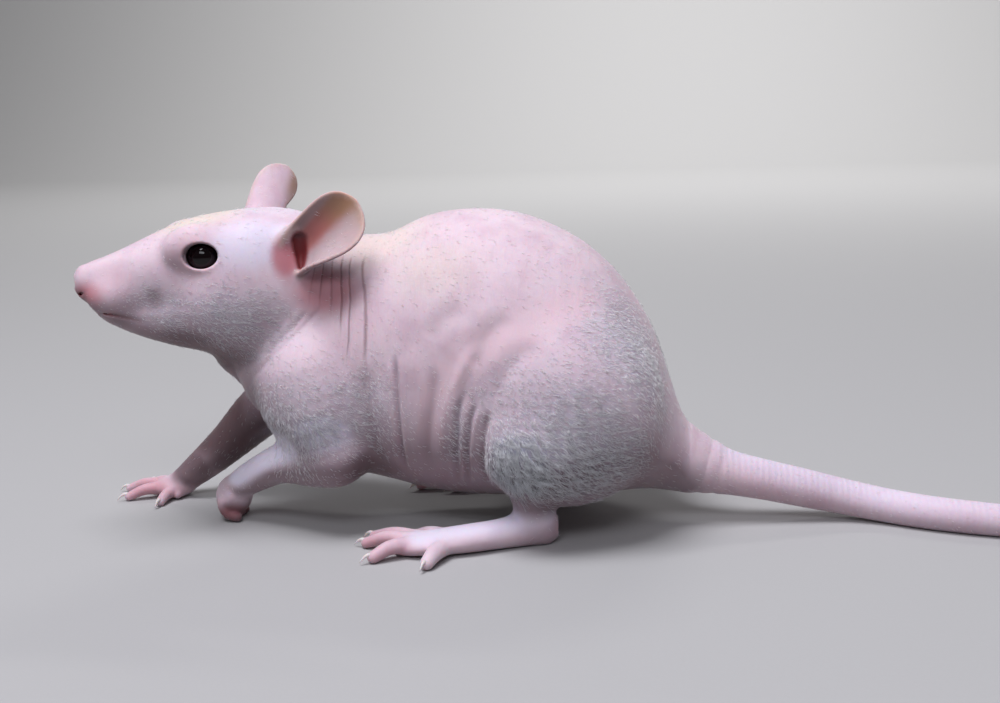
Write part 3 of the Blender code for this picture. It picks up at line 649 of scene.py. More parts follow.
EAR_LEFT = EarShell(
    root=(37.0, 10.1, 2.1),
    length_way=(0.60, 0.42, 0.68),
    open_way=(-0.52, 0.85, 0.0),
    bend=0.8,
    front_share=1.0,
    back_shares=(1.0, 1.0, 1.0),
    side=1,
)
EAR_RIGHT = EarShell(
    root=(35.1, -9.7, 4.2),
    length_way=(0.33, -0.56, 0.78),
    open_way=(-0.30, -0.94, -0.15),
    bend=-0.5,
    front_share=1.15,
    back_shares=(0.45, 0.26, 0.72),
    side=-1,
)


@dataclass(frozen=True)
class Ear:
    """One ear: its shell, the swelling that it grows from, the fold before it, and its canal."""

    shell: EarShell
    swelling: float = 3.2
    fold: Triple = (2.0, 1.8, 3.6)

    def spot(self, along: float, out: float, ahead: float) -> tuple[float, float, float]:
        """A place given along the ear, out of its cup and toward its front edge."""
        ways = self.shell.ways()
        found = HEAD.world(self.shell.root) + ways[0] * along + ways[1] * out + ways[2] * ahead
        return tuple(found)

    def members(self) -> list[Member]:
        """The swelling, the fold and the shell with their fillets."""
        ways = self.shell.ways()
        place = Place(self.spot(1.6, -0.2, 3.3), tuple(ways[2]), tuple(ways[1]), tuple(ways[0]))
        root = Egg(self.spot(-2.2, -2.6, -0.8), (self.swelling, self.swelling, self.swelling * 1.1))
        return [(root, 2.5), (self.shell, 1.0), (Egg((0.0, 0.0, 0.0), self.fold, place), 1.4)]

    def cuts(self) -> list[Member]:
        """The canal, a slit in the bottom of the cup that widens upward and runs into the head."""
        slit = (
            (*self.spot(4.1, 0.1, 1.5), 1.15),
            (*self.spot(2.3, 0.0, -0.5), 0.9),
            (*self.spot(1.0, 0.8, -2.3), 0.4),
        )
        return [(Limb(slit, 0.6), 0.35)]


@dataclass(frozen=True)
class Foreleg:
    """An upper arm, a forearm and a forefoot."""

    upper: Rows
    fore: Rows
    palm: tuple[Triple, Triple]
    fingers: tuple[Rows, ...]

    def members(self) -> list[Member]:
        """The forms of the leg with their fillets."""
        found: list[Member] = [(Limb(self.upper, 2.0), 4.0), (Limb(self.fore, 2.0), 3.5)]
        found.append((Egg(*self.palm), 1.2))
        found.extend((Limb(finger, 0.8), 0.55) for finger in self.fingers)
        return found


FINGER_CURL = ((-49.3, 5.2, 1.45), (-50.9, 3.5, 1.2), (-50.2, 1.7, 1.05), (-48.4, 1.0, 0.95))
FORELEG_LEFT = Foreleg(
    upper=((-31.0, -10.0, 30.0, 8.0), (-28.5, -11.8, 22.5, 7.0), (-26.5, -12.2, 16.5, 5.6)),
    fore=(
        (-26.0, -12.2, 15.0, 5.2),
        (-30.0, -11.6, 14.2, 4.9),
        (-37.0, -9.6, 12.9, 3.8),
        (-43.0, -6.9, 9.9, 3.25),
        (-46.2, -5.4, 8.0, 3.0),
        (-48.5, -4.4, 6.2, 2.8),
    ),
    palm=((-49.3, -4.0, 4.6), (3.5, 3.4, 3.7)),
    fingers=tuple(
        tuple((x + lead, y, z, radius) for x, z, radius in FINGER_CURL)
        for y, lead in ((-1.5, 0.1), (-3.2, -0.25), (-4.9, -0.2), (-6.5, 0.3))
    ),
)
FORELEG_RIGHT = Foreleg(
    upper=((-30.0, 9.5, 30.0, 8.0), (-35.0, 12.5, 26.0, 7.2), (-40.0, 13.2, 23.4, 6.3)),
    fore=(
        (-39.5, 13.2, 23.6, 6.2),
        (-48.6, 12.3, 17.4, 5.3),
        (-55.4, 11.2, 11.2, 4.1),
        (-60.6, 10.3, 6.9, 3.4),
        (-64.2, 9.8, 4.2, 2.8),
        (-67.0, 9.6, 2.6, 2.1),
    ),
    palm=((-67.4, 9.7, 2.0), (4.3, 3.7, 2.1)),
    fingers=(
        ((-66.6, 8.0, 1.8, 1.3), (-67.5, 4.6, 1.5, 1.05), (-67.6, 2.4, 0.9, 0.9)),
        ((-68.9, 8.6, 2.0, 1.4), (-73.0, 6.7, 2.0, 1.1), (-75.7, 5.6, 0.9, 0.9)),
        ((-69.5, 10.2, 2.1, 1.4), (-74.6, 10.9, 2.1, 1.1), (-77.9, 11.2, 0.9, 0.9)),
        ((-68.5, 11.8, 2.0, 1.3), (-72.2, 14.6, 1.7, 1.05), (-74.4, 16.2, 0.9, 0.9)),
        ((-65.3, 8.4, 1.5, 1.0), (-65.6, 6.6, 1.1, 0.75)),
    ),
)


@dataclass(frozen=True)
class Hindleg:
    """A shank, an ankle and a long hind foot with five toes; the thigh belongs to the trunk."""

    shift: float = 0.0
    left: bool = True
    shank: Rows = (
        (14.0, -15.0, 20.0, 7.0),
        (11.6, -16.6, 14.0, 5.0),
        (11.3, -16.2, 9.0, 3.9),
        (11.5, -15.6, 5.4, 3.6),
    )
    sole: Rows = (
        (15.3, -13.4, 2.6, 1.4, 1.5, 1.6),
        (13.9, -14.1, 3.0, 2.5, 3.0, 3.0),
        (10.5, -15.7, 3.2, 2.9, 3.4, 3.2),
        (6.0, -17.5, 2.8, 2.9, 2.6, 2.8),
        (0.0, -19.8, 2.5, 3.5, 2.3, 2.5),
        (-6.0, -21.3, 2.1, 3.9, 2.0, 2.1),
        (-11.0, -21.8, 1.8, 3.6, 1.5, 1.8),
        (-13.4, -21.8, 1.5, 2.4, 1.0, 1.5),
    )
    toes: tuple[Rows, ...] = (
        ((-3.5, -18.6, 2.2, 1.3), (-8.2, -15.9, 2.0, 1.1), (-11.0, -14.5, 1.0, 0.9)),
        ((-9.5, -19.6, 2.1, 1.5), (-14.2, -17.4, 2.2, 1.15), (-18.4, -15.7, 1.0, 0.95)),
        ((-10.0, -21.3, 2.2, 1.5), (-15.0, -20.4, 2.4, 1.2), (-18.9, -19.5, 1.0, 1.0)),
        ((-10.0, -23.2, 2.1, 1.5), (-13.4, -25.3, 2.2, 1.3), (-15.8, -27.0, 1.1, 1.1)),
        ((-3.8, -23.2, 2.0, 1.6), (-5.0, -27.0, 1.9, 1.45), (-5.7, -29.6, 1.2, 1.2)),
    )

    def placed(self, rows: Rows) -> Rows:
        """Rows as they stand on this side of the body."""
        return rows if self.left else mirrored(rows, self.shift)

    def members(self) -> list[Member]:
        """The forms of the leg with their fillets."""
        found: list[Member] = [(Limb(self.placed(self.shank), 2.0), 1.6)]
        found.append((path_loft(self.placed(self.sole), 0.5), 1.6))
        found.extend((Limb(self.placed(toe), 1.0), 0.6) for toe in self.toes)
        return found


@dataclass(frozen=True)
class Tail:
    """The tail, from the rump to its tip."""

    rows: Rows = (
        (33.0, 0.0, 13.5, 6.5),
        (38.0, 0.0, 11.6, 6.1),
        (41.0, 0.0, 10.7, 5.3),
        (44.5, 0.0, 9.6, 4.4),
        (51.5, 0.5, 8.0, 3.8),
        (59.0, 1.3, 6.2, 3.6),
        (67.0, 1.9, 4.3, 3.3),
        (74.0, 0.6, 3.2, 3.15),
        (81.0, -2.4, 2.95, 3.05),
        (89.0, -5.0, 2.85, 2.95),
        (98.0, -6.8, 2.7, 2.8),
        (109.0, -7.4, 2.45, 2.55),
        (121.0, -5.8, 2.15, 2.25),
        (133.0, -2.2, 1.85, 1.95),
        (144.0, 2.8, 1.5, 1.6),
        (153.0, 8.2, 1.1, 1.2),
        (159.0, 12.6, 0.75, 0.85),
    )

    def members(self) -> list[Member]:
        """The tail's one form with its fillet."""
        return [(Limb(self.rows, 3.0), 3.0)]


@dataclass(frozen=True)
class Patch:
    """A soft-edged marking: an egg full in its core and gone at its edge, on one side or both."""

    centre: Triple
    radii: Triple
    strength: float = 1.0
    core: float = 0.35
    place: Place = WHOLE
    both: bool = True
    other: float = 1.0

    def amount(self, points: Array) -> Array:
        """The marking at each point: its strength, eased to 0 between the core and the edge."""
        local = self.place.local(points)
        total = np.zeros(len(points))
        for side in (1.0, -1.0) if self.both else (1.0,):
            ratio = np.linalg.norm((local - sided(self.centre, side)) / np.array(self.radii), axis=1)
            share = self.strength if side > 0.0 else self.strength * self.other
            total = np.maximum(total, share * (1.0 - ease(ratio, self.core, 1.0)))
        return total


@dataclass(frozen=True)
class Band:
    """A soft-edged streak along a path, full in its core and gone at its radius."""

    rows: Rows
    strength: float = 1.0
    core: float = 0.3
    place: Place = WHOLE

    def amount(self, points: Array) -> Array:
        """The marking at each point: its strength, eased to 0 across the outer part of the streak."""
        total = np.zeros(len(points))
        for rows in (self.rows, mirrored(self.rows)):
            form = Limb(rows, 2.0, self.place)
            near = within(points, *form.box())
            if len(near):
                deep = -form.distance(points[near]) / self.rows[0][3]
                raise_to(total, near, self.strength * ease(deep, 0.0, 1.0 - self.core))
        return total


Marks = tuple[Patch | Band, ...]


def strongest(marks: Marks, points: Array) -> Array:
    """The greatest amount of any of the markings at each point."""
    total = np.zeros(len(points))
    for mark in marks:
        total = np.maximum(total, mark.amount(points))
    return total


class Mark(Enum):
    """The markings that skin and coat share; each is an attribute on their meshes."""

    BLUSH = "blush"
    CREAM = "cream"
    VEIL = "veil"
    # Partly the skin's own dusky tone, mostly painted shade
    DUSK_AND_PAINTED_SHADE = "dusk_and_painted_shade"
    BARE = "bare"
    # Partly red skin, partly painted shade in hollows
    DEEP_RED_AND_PAINTED_SHADE = "deep"
    CUP = "cup"
    # Partly the ears' own olive tone, partly painted shade
    OLIVE_AND_PAINTED_SHADE = "olive_and_painted_shade"
    RIM = "rim"
    FLAP = "flap"
    # Painted shade where the skin faces down
    PAINTED_UNDERSHADE = "under"
    # Partly the skin's own pale lilac tone, partly painted light
    LILAC_AND_PAINTED_LIGHT = "lilac_and_painted_light"
    RING = "ring"
    # Painted shade in the body's creases
    FOLD_SHADE = "fold"
    # The pleats' number and strength, for their bump and their painted shade
    PLEAT = "pleat"
    PLEATED = "pleated"


@dataclass(frozen=True)
class Markings:
    """Where the skin is flushed, creamy, veiled with fuzz, dusky or darkened by painted shade, lilac or
    lightened by painted light, or bare.
    """

    blush: Marks = (
        Patch((2.2, 0.0, -2.4), (5.5, 7.5, 3.6), 0.85, 0.4, HEAD, False),
        # Painted shade: a reddish tint on the neck under the near ear, with the dusk marks there
        Patch((-26.0, -12.5, 46.0), (9.0, 7.0, 5.5), 0.6, 0.3, both=False),
        Patch((9.0, 0.0, -2.6), (11.0, 8.0, 6.0), 0.32, 0.2, HEAD, False),
        Patch((20.6, 6.8, 4.2), (5.6, 6.0, 5.4), 0.25, 0.5, HEAD),
        Patch((17.6, 6.2, 3.9), (1.7, 3.0, 1.5), 0.6, 0.2, HEAD),
        Patch((35.8, 11.4, 2.6), (3.6, 3.6, 5.6), 1.0, 0.4, HEAD),
        Patch((-50.0, -4.0, 2.2), (5.0, 6.0, 3.6), 0.4, 0.5, both=False),
        Patch((-71.0, 9.0, 1.5), (9.5, 9.0, 3.4), 0.7, 0.4, both=False),
        Patch((-14.5, -21.0, 0.6), (10.0, 12.0, 4.0), 0.6, 0.35),
        Patch((13.5, -14.5, 4.0), (5.0, 5.0, 5.0), 0.4, 0.2),
        Band(((44.0, 0.0, 9.5, 8.0), (100.0, -6.8, 2.7, 8.0), (160.0, 12.6, 0.8, 8.0)), 0.18, 0.2),
    )
    cream: Marks = (
        Patch((22.0, 0.0, 9.6), (13.0, 9.0, 4.6), 0.75, 0.3, HEAD, False),
        Patch((-17.0, -5.0, 54.0), (17.0, 14.0, 9.0), 0.55, 0.15, both=False),
        Patch((-6.0, -14.0, 50.0), (14.0, 9.0, 9.0), 0.35, 0.1),
    )
    veil: Marks = (
        Patch((17.0, 6.0, -6.0), (11.0, 6.0, 6.5), 0.45, 0.1, HEAD),
        Patch((11.0, 5.5, -3.0), (7.0, 4.0, 5.0), 0.4, 0.1, HEAD),
        Patch((-38.0, -12.0, 38.0), (10.0, 8.0, 10.0), 0.5, 0.1),
        Patch((27.0, 9.5, -7.0), (16.0, 9.0, 9.5), 0.6, 0.1, HEAD),
        Patch((-31.0, -15.0, 23.0), (15.0, 10.0, 15.0), 0.65, 0.1),
        Patch((-28.0, -16.5, 22.0), (8.0, 7.0, 7.5), 0.8, 0.2),
        Patch((18.0, -20.0, 20.0), (22.0, 14.0, 20.0), 0.75, 0.15),
        Patch((10.0, -23.0, 17.0), (9.0, 8.0, 9.0), 1.0, 0.4),
        Patch((28.0, -14.0, 34.0), (16.0, 15.0, 22.0), 0.55, 0.1),
        Patch((8.0, -19.0, 28.0), (13.0, 9.0, 11.0), 0.35, 0.1),
        Patch((-20.0, -16.0, 26.0), (14.0, 8.0, 16.0), 0.4, 0.1),
        Patch((-2.0, -18.0, 24.0), (5.0, 6.0, 12.0), 0.5, 0.2),
    )
    # Mostly painted shade: under the jaw, throat, chest and belly, on the far foreleg, the near forefoot, the
    # ankle and the neck under the ear. The small patches about the nose, lips, whisker pads and ear bases are
    # the skin's own dusky tone.
    dusk_and_painted_shade: Marks = (
        Patch((18.0, 0.0, -15.0), (26.0, 13.0, 7.0), 0.95, 0.4, HEAD, False),
        Patch((-43.0, 0.0, 25.0), (12.0, 11.0, 13.0), 1.0, 0.4, both=False),
        Patch((-20.0, -12.0, 13.5), (9.0, 9.0, 5.5), 0.8, 0.3),
        Patch((21.0, 0.0, -13.2), (18.0, 9.0, 6.0), 0.95, 0.2, HEAD, False),
        Patch((2.0, 0.0, -2.4), (4.0, 6.0, 2.6), 0.5, 0.4, HEAD, False),
        Patch((13.0, 6.0, -3.2), (2.4, 3.0, 3.2), 0.35, 0.1, HEAD),
        Patch((-55.0, 11.0, 14.5), (16.0, 9.0, 14.0), 1.0, 0.45, both=False),
        Patch((-62.5, 9.0, 6.5), (7.0, 7.0, 6.0), 0.85, 0.5, both=False),
        Patch((-42.0, -13.0, 27.0), (6.0, 6.0, 8.0), 0.5, 0.2),
        Patch((17.0, 6.5, -11.6), (12.0, 5.0, 3.4), 0.7, 0.2, HEAD),
        Patch((12.0, -16.0, 8.0), (6.0, 5.0, 4.0), 0.5, 0.2),
        Patch((-49.5, -4.5, 1.2), (5.0, 6.5, 4.4), 1.0, 0.5, both=False),
        Patch((-25.5, -12.0, 46.0), (9.0, 7.0, 8.0), 0.65, 0.3),
        Patch((-10.0, 0.0, 5.0), (36.0, 17.0, 9.0), 0.75, 0.3, both=False),
        Patch((12.9, 6.4, -2.8), (2.0, 2.4, 2.3), 0.5, 0.2, HEAD),
        Patch((35.8, 12.0, 3.4), (3.0, 3.0, 5.0), 0.55, 0.3, HEAD),
        Patch((6.5, 4.0, -7.2), (5.0, 3.0, 2.4), 0.4, 0.2, HEAD),
    )
    # Partly the skin's own pale lilac tone, partly painted light: the streak on the near forearm and the
    # patches at the elbow and knee lighten skin that lies in shade under the head and under the fuzz.
    lilac_and_painted_light: Marks = (
        Patch((31.0, 9.0, 5.0), (11.0, 6.5, 7.0), 0.9, 0.4, HEAD),
        Patch((36.0, 0.0, 10.0), (12.0, 10.0, 5.0), 0.5, 0.3, HEAD, False),
        Band(FOREARM_LINE, 1.0, 0.5),
        Patch((-27.0, -17.6, 20.6), (7.5, 6.0, 4.5), 1.0, 0.5),
        Patch((12.0, -24.0, 19.0), (9.0, 7.0, 4.5), 0.8, 0.4),
        Band(((13.0, -16.0, 6.0, 4.0), (5.0, -19.0, 5.5, 4.0), (-8.0, -22.5, 4.0, 4.0)), 0.9, 0.35),
        Band(
            (
                (46.0, 0.0, 12.5, 6.0),
                (60.0, 0.5, 9.5, 6.0),
                (81.0, -3.4, 5.2, 6.0),
                (110.0, -8.0, 4.0, 6.0),
                (150.0, 5.5, 2.8, 6.0),
            ),
            0.9,
            0.1,
        ),
    )
    bare: Marks = (
        Band(
            (
                (22.0, -14.5, 45.0, 5.0),
                (16.9, -16.3, 42.9, 5.0),
                (10.2, -19.1, 39.9, 5.0),
                (3.2, -20.0, 36.6, 5.0),
                (-3.0, -20.0, 31.0, 5.0),
                (-6.0, -19.5, 22.0, 5.0),
            ),
            1.0,
            0.2,
        ),
        Patch((-20.0, -15.0, 38.0), (9.0, 8.0, 12.0), 0.6, 0.3),
        Patch((7.0, 0.0, -1.0), (9.0, 8.0, 5.5), 0.6, 0.3, HEAD, False),
    )

    def deep(self, points: Array) -> Array:
        """Dark red in the nostrils, along the lips and down the ear canals: partly the red of the skin within,
        partly painted shade in these hollows and along the mouth's line.
        """
        found = np.zeros(len(points))
        head = Head()
        for side in (1, -1):
            nostril = tuple(sided(row, side) for row in head.nostril)
            found = np.maximum(found, 1.0 - ease(Limb(nostril, 0.4, HEAD).distance(points), 0.0, 0.35))
            mouth = tuple((*sided(row, side), head.mouth_radius) for row in head.mouth)
            found = np.maximum(found, 0.7 * (1.0 - ease(Limb(mouth, 1.0, HEAD).distance(points), 0.0, 0.3)))
        for shell in (EAR_LEFT, EAR_RIGHT):
            for canal, _ in Ear(shell).cuts():
                found = np.maximum(found, 1.0 - ease(canal.distance(points), 0.1, 0.9))
        return found

    def ears(self, points: Array) -> dict[Mark, Array]:
        """The flush inside the cups, olive toward the tips, pale rims, and dusty pink at the front. The olive
        is partly the ears' own tone and partly painted shade, and on the far ear painted shade darkens the
        back of its curled rear rim.
        """
        cup, olive_and_painted_shade, rim, flap = (np.zeros(len(points)) for _ in range(4))
        for shell in (EAR_LEFT, EAR_RIGHT):
            near = within(points, *shell.box())
            place, arc, off, outline = shell.read(points[near])
            on = (1.0 - ease(np.abs(off), 0.7, 1.4)) * (1.0 - ease(outline, 0.4, 1.2))
            inner = on * ease(-off, 0.0, 0.3)
            behind = ease(-arc, 0.2, 3.0)
            before = ease(arc, 2.0, 3.8)
            high_up = ease(place, 0.45, 0.85)
            tip = ease(place, 0.72, 0.98)
            raise_to(cup, near, inner * (1.0 - behind) * (1.0 - 0.7 * before))
            raise_to(flap, near, inner * np.maximum(0.8 * behind, before) * (1.0 - 0.6 * tip))
            ahead = 0.5 * before * ease(place, 0.2, 0.5)
            shade = np.maximum(high_up * (1.0 - 0.8 * behind * (1.0 - tip)), ahead)
            raise_to(olive_and_painted_shade, near, inner * shade)
            # Painted shade: olive on the back of the far ear's curled rear rim, high up
            if shell.side < 0:
                raise_to(olive_and_painted_shade, near, 0.95 * (on - inner) * high_up * ease(-arc, 0.5, 3.0))
            raise_to(rim, near, on * ease(outline, -0.7, -0.1))
        return {Mark.CUP: cup, Mark.OLIVE_AND_PAINTED_SHADE: olive_and_painted_shade, Mark.RIM: rim, Mark.FLAP: flap}

    def read(self, points: Array) -> dict[Mark, Array]:
        """Every marking at each point.

        Args:
            points: places in the body's frame.

        Returns:
            An amount from 0 to 1 for each mark; the ring mark is instead the length along
            the tail in millimetres.
        """
        return {
            Mark.BLUSH: strongest(self.blush, points),
            Mark.CREAM: strongest(self.cream, points),
            Mark.VEIL: strongest(self.veil, points),
            Mark.DUSK_AND_PAINTED_SHADE: strongest(self.dusk_and_painted_shade, points),
            Mark.BARE: strongest(self.bare, points),
            Mark.LILAC_AND_PAINTED_LIGHT: strongest(self.lilac_and_painted_light, points),
            Mark.DEEP_RED_AND_PAINTED_SHADE: self.deep(points),
            Mark.RING: np.maximum(points[:, 0] - TAIL_START, 0.0),
            **self.ears(points),
        }


def painted_underside_shade(points: Array, normals: Array) -> Array:
    """Painted shade on the underside, where the skin faces down.

    Args:
        points: places in the body's frame.
        normals: the skin's normals there.

    Returns:
        An amount of painted shade from 0 to 1: the share by which the skin faces down, half as much
        on feet and tail, with a little added low on the body, and little on the forearm, which is painted
        lighter.
    """
    high = points[:, 2]
    facing = ease(-normals[:, 2], -0.4, 0.7)
    body = ease(high, 4.5, 8.0) * ease(TAIL_START - points[:, 0], 0.0, 8.0)
    low = ease(26.0 - high, 0.0, 15.0)
    # The forearm's upper side is kept free of painted shade, as painted light brightens it
    spared = 1.0 - Band(FOREARM_LINE, 0.85, 0.5).amount(points)
    return spared * np.clip(facing * (0.5 + 0.5 * body) + 0.35 * low * body, 0.0, 1.0)


def put_attributes(mesh: bpy.types.Mesh, values: dict[Mark, Array]) -> None:
    """Writes one number per point for each mark."""
    for mark, amount in values.items():
        layer = mesh.attributes.new(mark.value, "FLOAT", "POINT")
        layer.data.foreach_set("value", amount.astype(np.float32))


@dataclass(frozen=True)
class Crease:
    """A groove in the skin of a flank, drawn as a line of (x, z); a negative depth makes a ridge."""

    line: Rows
    depth: float = 0.3
    width: float = 0.45
    ridge: float = 0.45

    def reach(self, points: Array, normals: Array, shift: float) -> tuple[Array, Array]:
        """How far points lie from the line, seen from the side.

        Args:
            points: points of one flank.
            normals: their normals.
            shift: how far the line lies further back than on the left flank.

        Returns:
            The distance, and a share that fades at the line's ends and where the skin faces
            up, down or ahead.
        """
        path = along_path([(row[0] + shift, row[1], 0.0) for row in self.line], 0.9)[:, :2]
        least = np.full(len(points), np.inf)
        place = np.zeros(len(points))
        wide = 4.0 * self.width
        flat = points[:, (0, 2)]
        near = within(flat, path.min(0) - wide, path.max(0) + wide)
        flat = flat[near]
        for k, (start, end) in enumerate(zip(path[:-1], path[1:])):
            span = end - start
            part = np.clip((flat - start) @ span / (span @ span), 0.0, 1.0)
            away = np.linalg.norm(flat - start - part[:, None] * span, axis=1)
            place[near] = np.where(away < least[near], (k + part) / (len(path) - 1), place[near])
            least[near] = np.minimum(least[near], away)
        ends = ease(place, 0.0, 0.2) * ease(1.0 - place, 0.0, 0.2)
        return least, ends * ease(np.abs(normals[:, 1]), 0.25, 0.6)

    def press(self, points: Array, normals: Array, shift: float) -> Array:
        """How far points move along their normals.

        Returns:
            -depth e^-(q/w)^2 in the groove and ridge * depth e^-((q - 2w)/1.1w)^2 beside it,
            times the share, where q is the distance from the line and w the width.
        """
        least, share = self.reach(points, normals, shift)
        groove = np.exp(-((least / self.width) ** 2))
        flanks = np.exp(-(((least - 2.0 * self.width) / (1.1 * self.width)) ** 2))
        return self.depth * share * (self.ridge * flanks - groove)


@dataclass(frozen=True)
class NeckPleats:
    """Six fine pleats that hang from under the ear, counted from the front by a running number."""

    lines: tuple[Rows, ...] = (
        ((35.0, -30.6), (39.1, -29.4), (44.4, -28.4), (49.8, -27.9)),
        ((32.4, -28.6), (37.4, -27.2), (44.3, -26.6), (49.7, -26.5)),
        ((31.4, -25.4), (37.5, -24.4), (44.4, -24.4), (49.7, -24.9)),
        ((31.3, -23.3), (37.6, -22.4), (44.5, -22.4), (49.7, -23.1)),
        ((32.3, -21.7), (37.7, -20.9), (44.5, -20.8), (49.4, -21.6)),
        ((35.0, -17.3), (39.0, -17.4), (43.7, -17.6), (50.0, -18.9)),
    )
    ends: tuple[float, ...] = (44.5, 44.0, 42.0, 38.0, 34.0, 33.5)
    strengths: tuple[float, ...] = (0.5, 0.75, 0.55, 1.0, 0.85, 1.0)
    depth: float = 0.2
    rise: float = 0.45
    width: float = 0.17

    def number(self, points: Array, normals: Array, shift: float) -> tuple[Array, Array]:
        """The running number at each point and how strongly the pleats show there.

        Returns:
            A number that is whole on each pleat and rises evenly between two of them, from
            the pleats' places at the point's height, and a share that fades at the edges and
            where each pleat ends.
        """
        x, z = points[:, 0] - shift, points[:, 2]
        lines = [np.interp(z, [row[0] for row in line], [row[1] for row in line]) for line in self.lines]
        total = (x - lines[0]) / (lines[1] - lines[0])
        for k in range(1, len(lines) - 1):
            total = np.where(x > lines[k], k + (x - lines[k]) / (lines[k + 1] - lines[k]), total)
        end = np.interp(total, range(len(lines)), self.ends)
        high = ease(z, end - 2.0, end + 4.0) * ease(52.5 - z, 0.0, 2.5)
        wide = ease(total, -0.6, 0.0) * ease(5.6 - total, 0.0, 0.8)
        strong = np.interp(total, range(len(lines)), self.strengths)
        return total, high * wide * strong * ease(np.abs(normals[:, 1]), 0.2, 0.5)

    def press(self, points: Array, normals: Array, shift: float) -> Array:
        """How far points move along their normals.

        Returns:
            depth * (rise - e^-(d/w)^2) times the share, where d is the distance in numbers
            from the nearest pleat and w the width.
        """
        number, share = self.number(points, normals, shift)
        off = np.abs(number - np.round(number))
        return self.depth * share * (self.rise - np.exp(-((off / self.width) ** 2)))


BODY_CREASES = (
    Crease(((-25.2, 44.4), (-30.8, 39.1), (-36.6, 33.7), (-41.6, 29.1)), 0.16, 0.5, 0.0),
    Crease(((-28.4, 43.0), (-33.0, 38.6), (-37.4, 34.0)), 0.12, 0.5),
    Crease(((-12.4, 36.0), (-12.2, 31.3), (-12.1, 24.1), (-12.2, 12.0)), 0.5, 0.5, 0.5),
    Crease(((-9.0, 38.0), (-8.8, 32.0), (-9.0, 24.0), (-9.6, 13.0)), -0.35, 2.4, 0.0),
    Crease(((-4.9, 34.0), (-5.4, 27.7), (-6.6, 22.0), (-7.9, 13.0)), 0.35, 1.0, 0.3),
    Crease(
        ((4.6, 38.4), (1.6, 35.7), (-1.2, 30.4), (-2.8, 26.1), (-4.0, 20.5), (-5.0, 12.0)), -0.4, 1.2, 0.0
    ),
    Crease(((0.6, 30.0), (-0.8, 26.0), (-1.6, 20.5), (-2.6, 10.0)), 0.3, 0.5, 0.6),
    Crease(((2.6, 28.0), (1.5, 25.0), (0.6, 20.5), (-0.6, 10.0)), 0.34, 0.45, 0.6),
    Crease(((4.8, 26.6), (3.6, 22.0), (3.0, 16.0), (3.2, 11.0)), 0.6, 0.7, 0.3),
    Crease(((-18.6, 34.0), (-18.0, 28.0), (-17.4, 21.0), (-17.0, 13.0)), 0.3, 1.7, 0.4),
    Crease(((-15.4, 30.0), (-15.2, 24.0), (-14.9, 13.0)), -0.25, 1.3, 0.0),
    Crease(((0.8, 44.0), (-3.2, 42.0), (-6.4, 38.0)), 0.2, 1.6, 0.3),
    Crease(((9.0, 42.5), (6.0, 40.5), (3.0, 37.0), (1.6, 33.0)), 0.25, 1.6, 0.4),
    Crease(((14.0, 38.0), (9.5, 35.0), (6.8, 31.0), (5.4, 27.0)), 0.22, 1.3, 0.3),
    Crease(((24.0, 44.0), (30.0, 38.0), (33.5, 30.0)), 0.15, 1.0),
)


